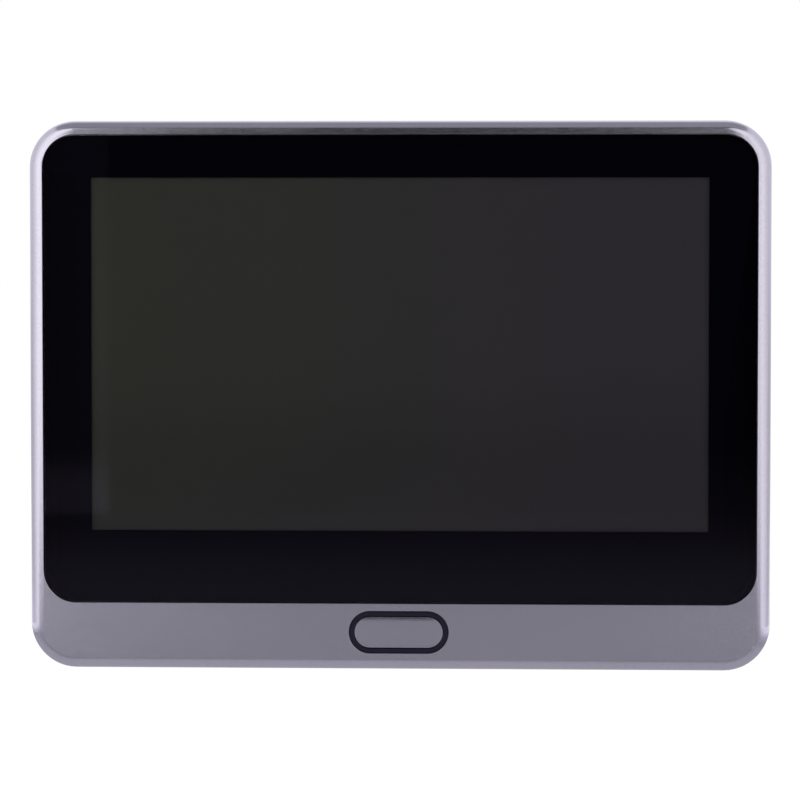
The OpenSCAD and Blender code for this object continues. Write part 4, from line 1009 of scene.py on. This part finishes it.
# %% Screws
def cross_screw(head, rise, shank, length):
    """A screw along Y with its seat at height 0, its head above it and its shank below."""
    dome = [(head / 2 * share, rise - head + math.sqrt(head ** 2 - (head / 2 * share) ** 2))
            for share in shares(5)]
    root, pitch, taper = 0.4 * shank, 0.32 * shank, 0.7
    bar = [(0, -length), (0.5 * root, -length), (root, -length + root), (root, 0), (head / 2, 0)]
    mesh = turned(bar + dome, steps=32)
    arm, reach, depth = 0.08 * head, 0.31 * head, 0.55 * rise

    def head_top():
        return [face for face in mesh.faces
                if face.normal.y > 0.6 and face.calc_center_median().y > touch]

    def in_cross(face):
        place = face.calc_center_median() / MM
        across, along = sorted((abs(place.x), abs(place.z)))
        return across < arm and along < reach

    for direction in (Vector((1, 0, 0)), Vector((0, 0, 1))):
        for at in (-reach, -arm, arm, reach):
            cut_across(mesh, head_top(), direction * at * MM, direction)
    tip = pushed(mesh, [face for face in head_top() if in_cross(face)], (0, -depth, 0))
    bmesh.ops.scale(mesh, verts=tip, vec=(taper, 1, taper))
    turns = int((length - 2 * root) / pitch)
    return gathered([mesh, ridge(root, shank / 2, pitch, -length + 1.5 * root, turns, 16)])


def screws(name, node, places, seat, head, rise, shank, length):
    """One screw at each place, all facing along +Y."""
    made = [moved(cross_screw(head, rise, shank, length), x, seat, z) for x, z in places]
    show(name, gathered(made), node)


housing_corners = [(x, z) for x in (-50.8, 50.8) for z in (-36.0, 36.0)]
board_corners = [(x, z) for x in (-9.5, 50.0) for z in (-28.3, 28.5)]
circle_r = 21.5
camera_circle = [(circle_r * math.cos(math.radians(angle)), circle_r * math.sin(math.radians(angle)))
                 for angle in (30, 150, 270)]
screws("housing_screws_cut", "housing_screws", housing_corners,
       seat=-10.15, head=3.8, rise=1.4, shank=2.0, length=6.0)
screws("board_screws_cut", "board_screws", board_corners,
       seat=-13.6, head=3.2, rise=1.1, shank=1.6, length=2.55)
screws("camera_screws_cut", "camera_screws", camera_circle,
       seat=48.2, head=3.2, rise=1.1, shank=1.6, length=3.2)

# %% [markdown]
# ### Lens and motion sensor
# The lens sits in a black barrel whose mouth steps inwards, so that stray light is caught on the steps.
# The glass has a violet coating. The motion sensor looks through a milky dome whose inside is divided
# into small lens cells: a coarse spin gives flat cells, and an inset on each face draws the lines
# between them.

# %% Lens barrel and lens
lens_z = middle("lens_barrel").z
barrel_back, barrel_front, barrel_r, barrel_bore_r = 49.0, 55.9, 5.0, 3.5
mouth_r, mouth_side, stair_rs, stair_drop, barrel_ease = 4.75, 55.4, (4.5, 4.15, 3.8), 0.25, 0.04
outside = [(barrel_bore_r, barrel_back), (barrel_r, barrel_back), (barrel_r, mouth_side),
           (mouth_r, barrel_front)]
stairs = [(radius, barrel_front - stair_drop * fall)
          for i, radius in enumerate(stair_rs) for fall in (i, i + 1)]
inside = [(barrel_bore_r, barrel_front - stair_drop * len(stair_rs))]
barrel = turned(outside + stairs + inside, closed=True)
show("lens_barrel_stepped", moved(round_edges(barrel, barrel_ease), z=lens_z), "lens_barrel")

lens_r, lens_round, lens_top, lens_back = 3.48, 7.0, 55.9, 53.9
hollow_r, hollow_deep, hollow_side, lens_land = 1.8, 0.5, 0.35, 0.4
hollow = [(0, lens_back + hollow_deep), (hollow_r, lens_back + hollow_side),
          (lens_r - lens_land, lens_back), (lens_r, lens_back)]
bulge = [(lens_r * share, lens_top - lens_round + math.sqrt(lens_round ** 2 - (lens_r * share) ** 2))
         for share in shares(10)]
element = moved(turned(hollow + bulge), z=lens_z)
show("lens_element_ground", element, "lens_element", finish="coated_lens")

# %% Dome of the motion sensor
dome_r, dome_base, dome_sink = 3.05, 57.5, 1.6
dome_low, dome_seat, dome_flange_r = 55.0, 55.5, 3.7
dome_round = math.hypot(dome_r, dome_sink)
dome_edge = math.acos(dome_sink / dome_round)
dome_rings, dome_cells, cell_line, cell_sunk, cell_crease = 5, 14, 0.07, 0.03, math.radians(9)
foot = [(0, dome_low), (dome_flange_r, dome_low), (dome_flange_r, dome_seat), (dome_r, dome_seat)]
arch = [(dome_round * math.sin(dome_edge * share),
         dome_base - dome_sink + dome_round * math.cos(dome_edge * share)) for share in shares(dome_rings)]
dome = turned(foot + arch, steps=dome_cells)
cells = [face for face in dome.faces if face.calc_center_median().y > (dome_base + 0.02) * MM]
bmesh.ops.inset_individual(dome, faces=cells, thickness=cell_line * MM, depth=-cell_sunk * MM)
show("pir_dome_cells", moved(dome, z=middle("pir_lens").z), "pir_lens", sharp=cell_crease)

# %% [markdown]
# ## Soft pieces
# The foam pad behind the bracket evens out the door's surface. It is cut from a sheet, so it has the
# bracket's outline and holes, and its clamped edges are soft rounds. An outline and three circles are
# filled between, pulled to a thickness and rounded.

# %% Foam pad
pad_lo, pad_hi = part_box("bracket_pad")
pad_size = (pad_hi - pad_lo) / MM
pad_corner, pad_round, screw_hole_r, screw_hole_x, shoulder_hole_r = 4.0, 0.3, 2.1, 24.0, 8.65
foam = bmesh.new()
outline = bmesh.ops.create_grid(foam, x_segments=1, y_segments=1, size=0.5)["verts"]
bmesh.ops.scale(foam, verts=outline, vec=(pad_size.x * MM, pad_size.z * MM, 1))
bmesh.ops.bevel(foam, geom=outline, offset=pad_corner * MM, offset_type="OFFSET", segments=8, profile=0.5,
                affect="VERTICES", material=-1)
bmesh.ops.delete(foam, geom=list(foam.faces), context="FACES_KEEP_BOUNDARY")
for radius, x in ((shoulder_hole_r, 0), (screw_hole_r, -screw_hole_x), (screw_hole_r, screw_hole_x)):
    bmesh.ops.create_circle(foam, cap_ends=False, segments=40, radius=radius * MM,
                            matrix=Matrix.Translation((x * MM, 0, 0)))
bmesh.ops.triangle_fill(foam, use_beauty=True, edges=list(foam.edges))
front_skin = bmesh.ops.extrude_face_region(foam, geom=list(foam.faces))["geom"]
bmesh.ops.translate(foam, verts=[item for item in front_skin if isinstance(item, bmesh.types.BMVert)],
                    vec=(0, 0, pad_size.y * MM))
bmesh.ops.rotate(foam, verts=foam.verts, cent=(0, 0, 0),
                 matrix=Matrix.Rotation(math.radians(90), 3, "X"))
bmesh.ops.recalc_face_normals(foam, faces=foam.faces)
round_edges(foam, pad_round, steps=3)
pad = show("foam_pad_cut", foam, "bracket_pad")

# %% [markdown]
# ## Ribbons
# A flat ribbon carries the picture through the tail. Its copper lines lift the film into fine ridges.
# One length runs straight through the tail. A short length folds up behind the monitor to its plug.
# Neither rides with a body. A ribbon can't be creased, so its bends are round.

# %% Ribbon through the tail
ribbon_width, ribbon_lines, film_t, line_rise = 8.0, 16, 0.22, 0.07
wave_rise, waves = 0.5, 2
ribbon_lo, ribbon_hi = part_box("ribbon_cable")
run = (ribbon_hi.y - ribbon_lo.y) / MM
cable = bmesh.new()
bmesh.ops.create_grid(cable, x_segments=2 * ribbon_lines, y_segments=64, size=0.5)
bmesh.ops.scale(cable, verts=cable.verts, vec=(ribbon_width * MM, run * MM, 1))
moved(cable, y=(ribbon_lo.y + ribbon_hi.y) / 2 / MM)
step = ribbon_width / (2 * ribbon_lines)
lines = [vert for vert in cable.verts if round((vert.co.x / MM + ribbon_width / 2) / step) % 2]
bmesh.ops.translate(cable, verts=lines, vec=(0, 0, line_rise * MM))
for vert in cable.verts:
    along = (vert.co.y - ribbon_lo.y) / MM / run
    vert.co.z += wave_rise * MM * math.sin(math.tau * waves * along) * math.sin(math.pi * along)
bmesh.ops.recalc_face_normals(cable, faces=cable.faces)
bmesh.ops.solidify(cable, geom=list(cable.faces), thickness=film_t * MM)
ribbon = show("ribbon_through_tail", cable, "ribbon_cable", rides=False)
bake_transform(ribbon)

# %% Ribbon to the plug
first_bend, second_bend = 1.6, 1.2
end_lo, end_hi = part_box("ribbon_end")
plug_top, rise_y, plug_height = end_lo.y / MM, -5.75, 7.0
fold = bmesh.new()
chain = [fold.verts.new(((-ribbon_width / 2 + i * step) * MM, end_hi.y, line_rise * MM * (i % 2)))
         for i in range(2 * ribbon_lines + 1)]
edge_row = [fold.edges.new(pair) for pair in zip(chain, chain[1:])]


def drawn(edges, vec):
    """Pulls a row of edges along a straight line and gives back the new row."""
    made = bmesh.ops.extrude_edge_only(fold, edges=edges)["geom"]
    bmesh.ops.translate(fold, verts=[item for item in made if isinstance(item, bmesh.types.BMVert)],
                        vec=Vector(vec) * MM)
    return [item for item in made
            if isinstance(item, bmesh.types.BMEdge) and all(vert in made for vert in item.verts)]


def bent(edges, centre, angle):
    """Turns a row of edges round an axis along X and gives back the new row."""
    made = bmesh.ops.spin(fold, geom=edges, cent=Vector(centre) * MM, axis=(1, 0, 0), dvec=(0, 0, 0),
                          angle=math.radians(angle), steps=10, use_merge=False)["geom_last"]
    return [item for item in made if isinstance(item, bmesh.types.BMEdge)]


lead_in = rise_y + first_bend
edge_row = drawn(edge_row, (0, lead_in - end_hi.y / MM, 0))
edge_row = bent(edge_row, (0, lead_in, first_bend), -90)
edge_row = drawn(edge_row, (0, 0, plug_height - first_bend - second_bend))
edge_row = bent(edge_row, (0, rise_y - second_bend, plug_height - second_bend), 90)
edge_row = drawn(edge_row, (0, plug_top - rise_y + second_bend, 0))
bmesh.ops.remove_doubles(fold, verts=fold.verts, dist=weld)
bmesh.ops.recalc_face_normals(fold, faces=fold.faces)
bmesh.ops.solidify(fold, geom=list(fold.faces), thickness=film_t * MM)
folded = show("ribbon_to_plug", fold, "ribbon_end", rides=False)
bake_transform(folded)
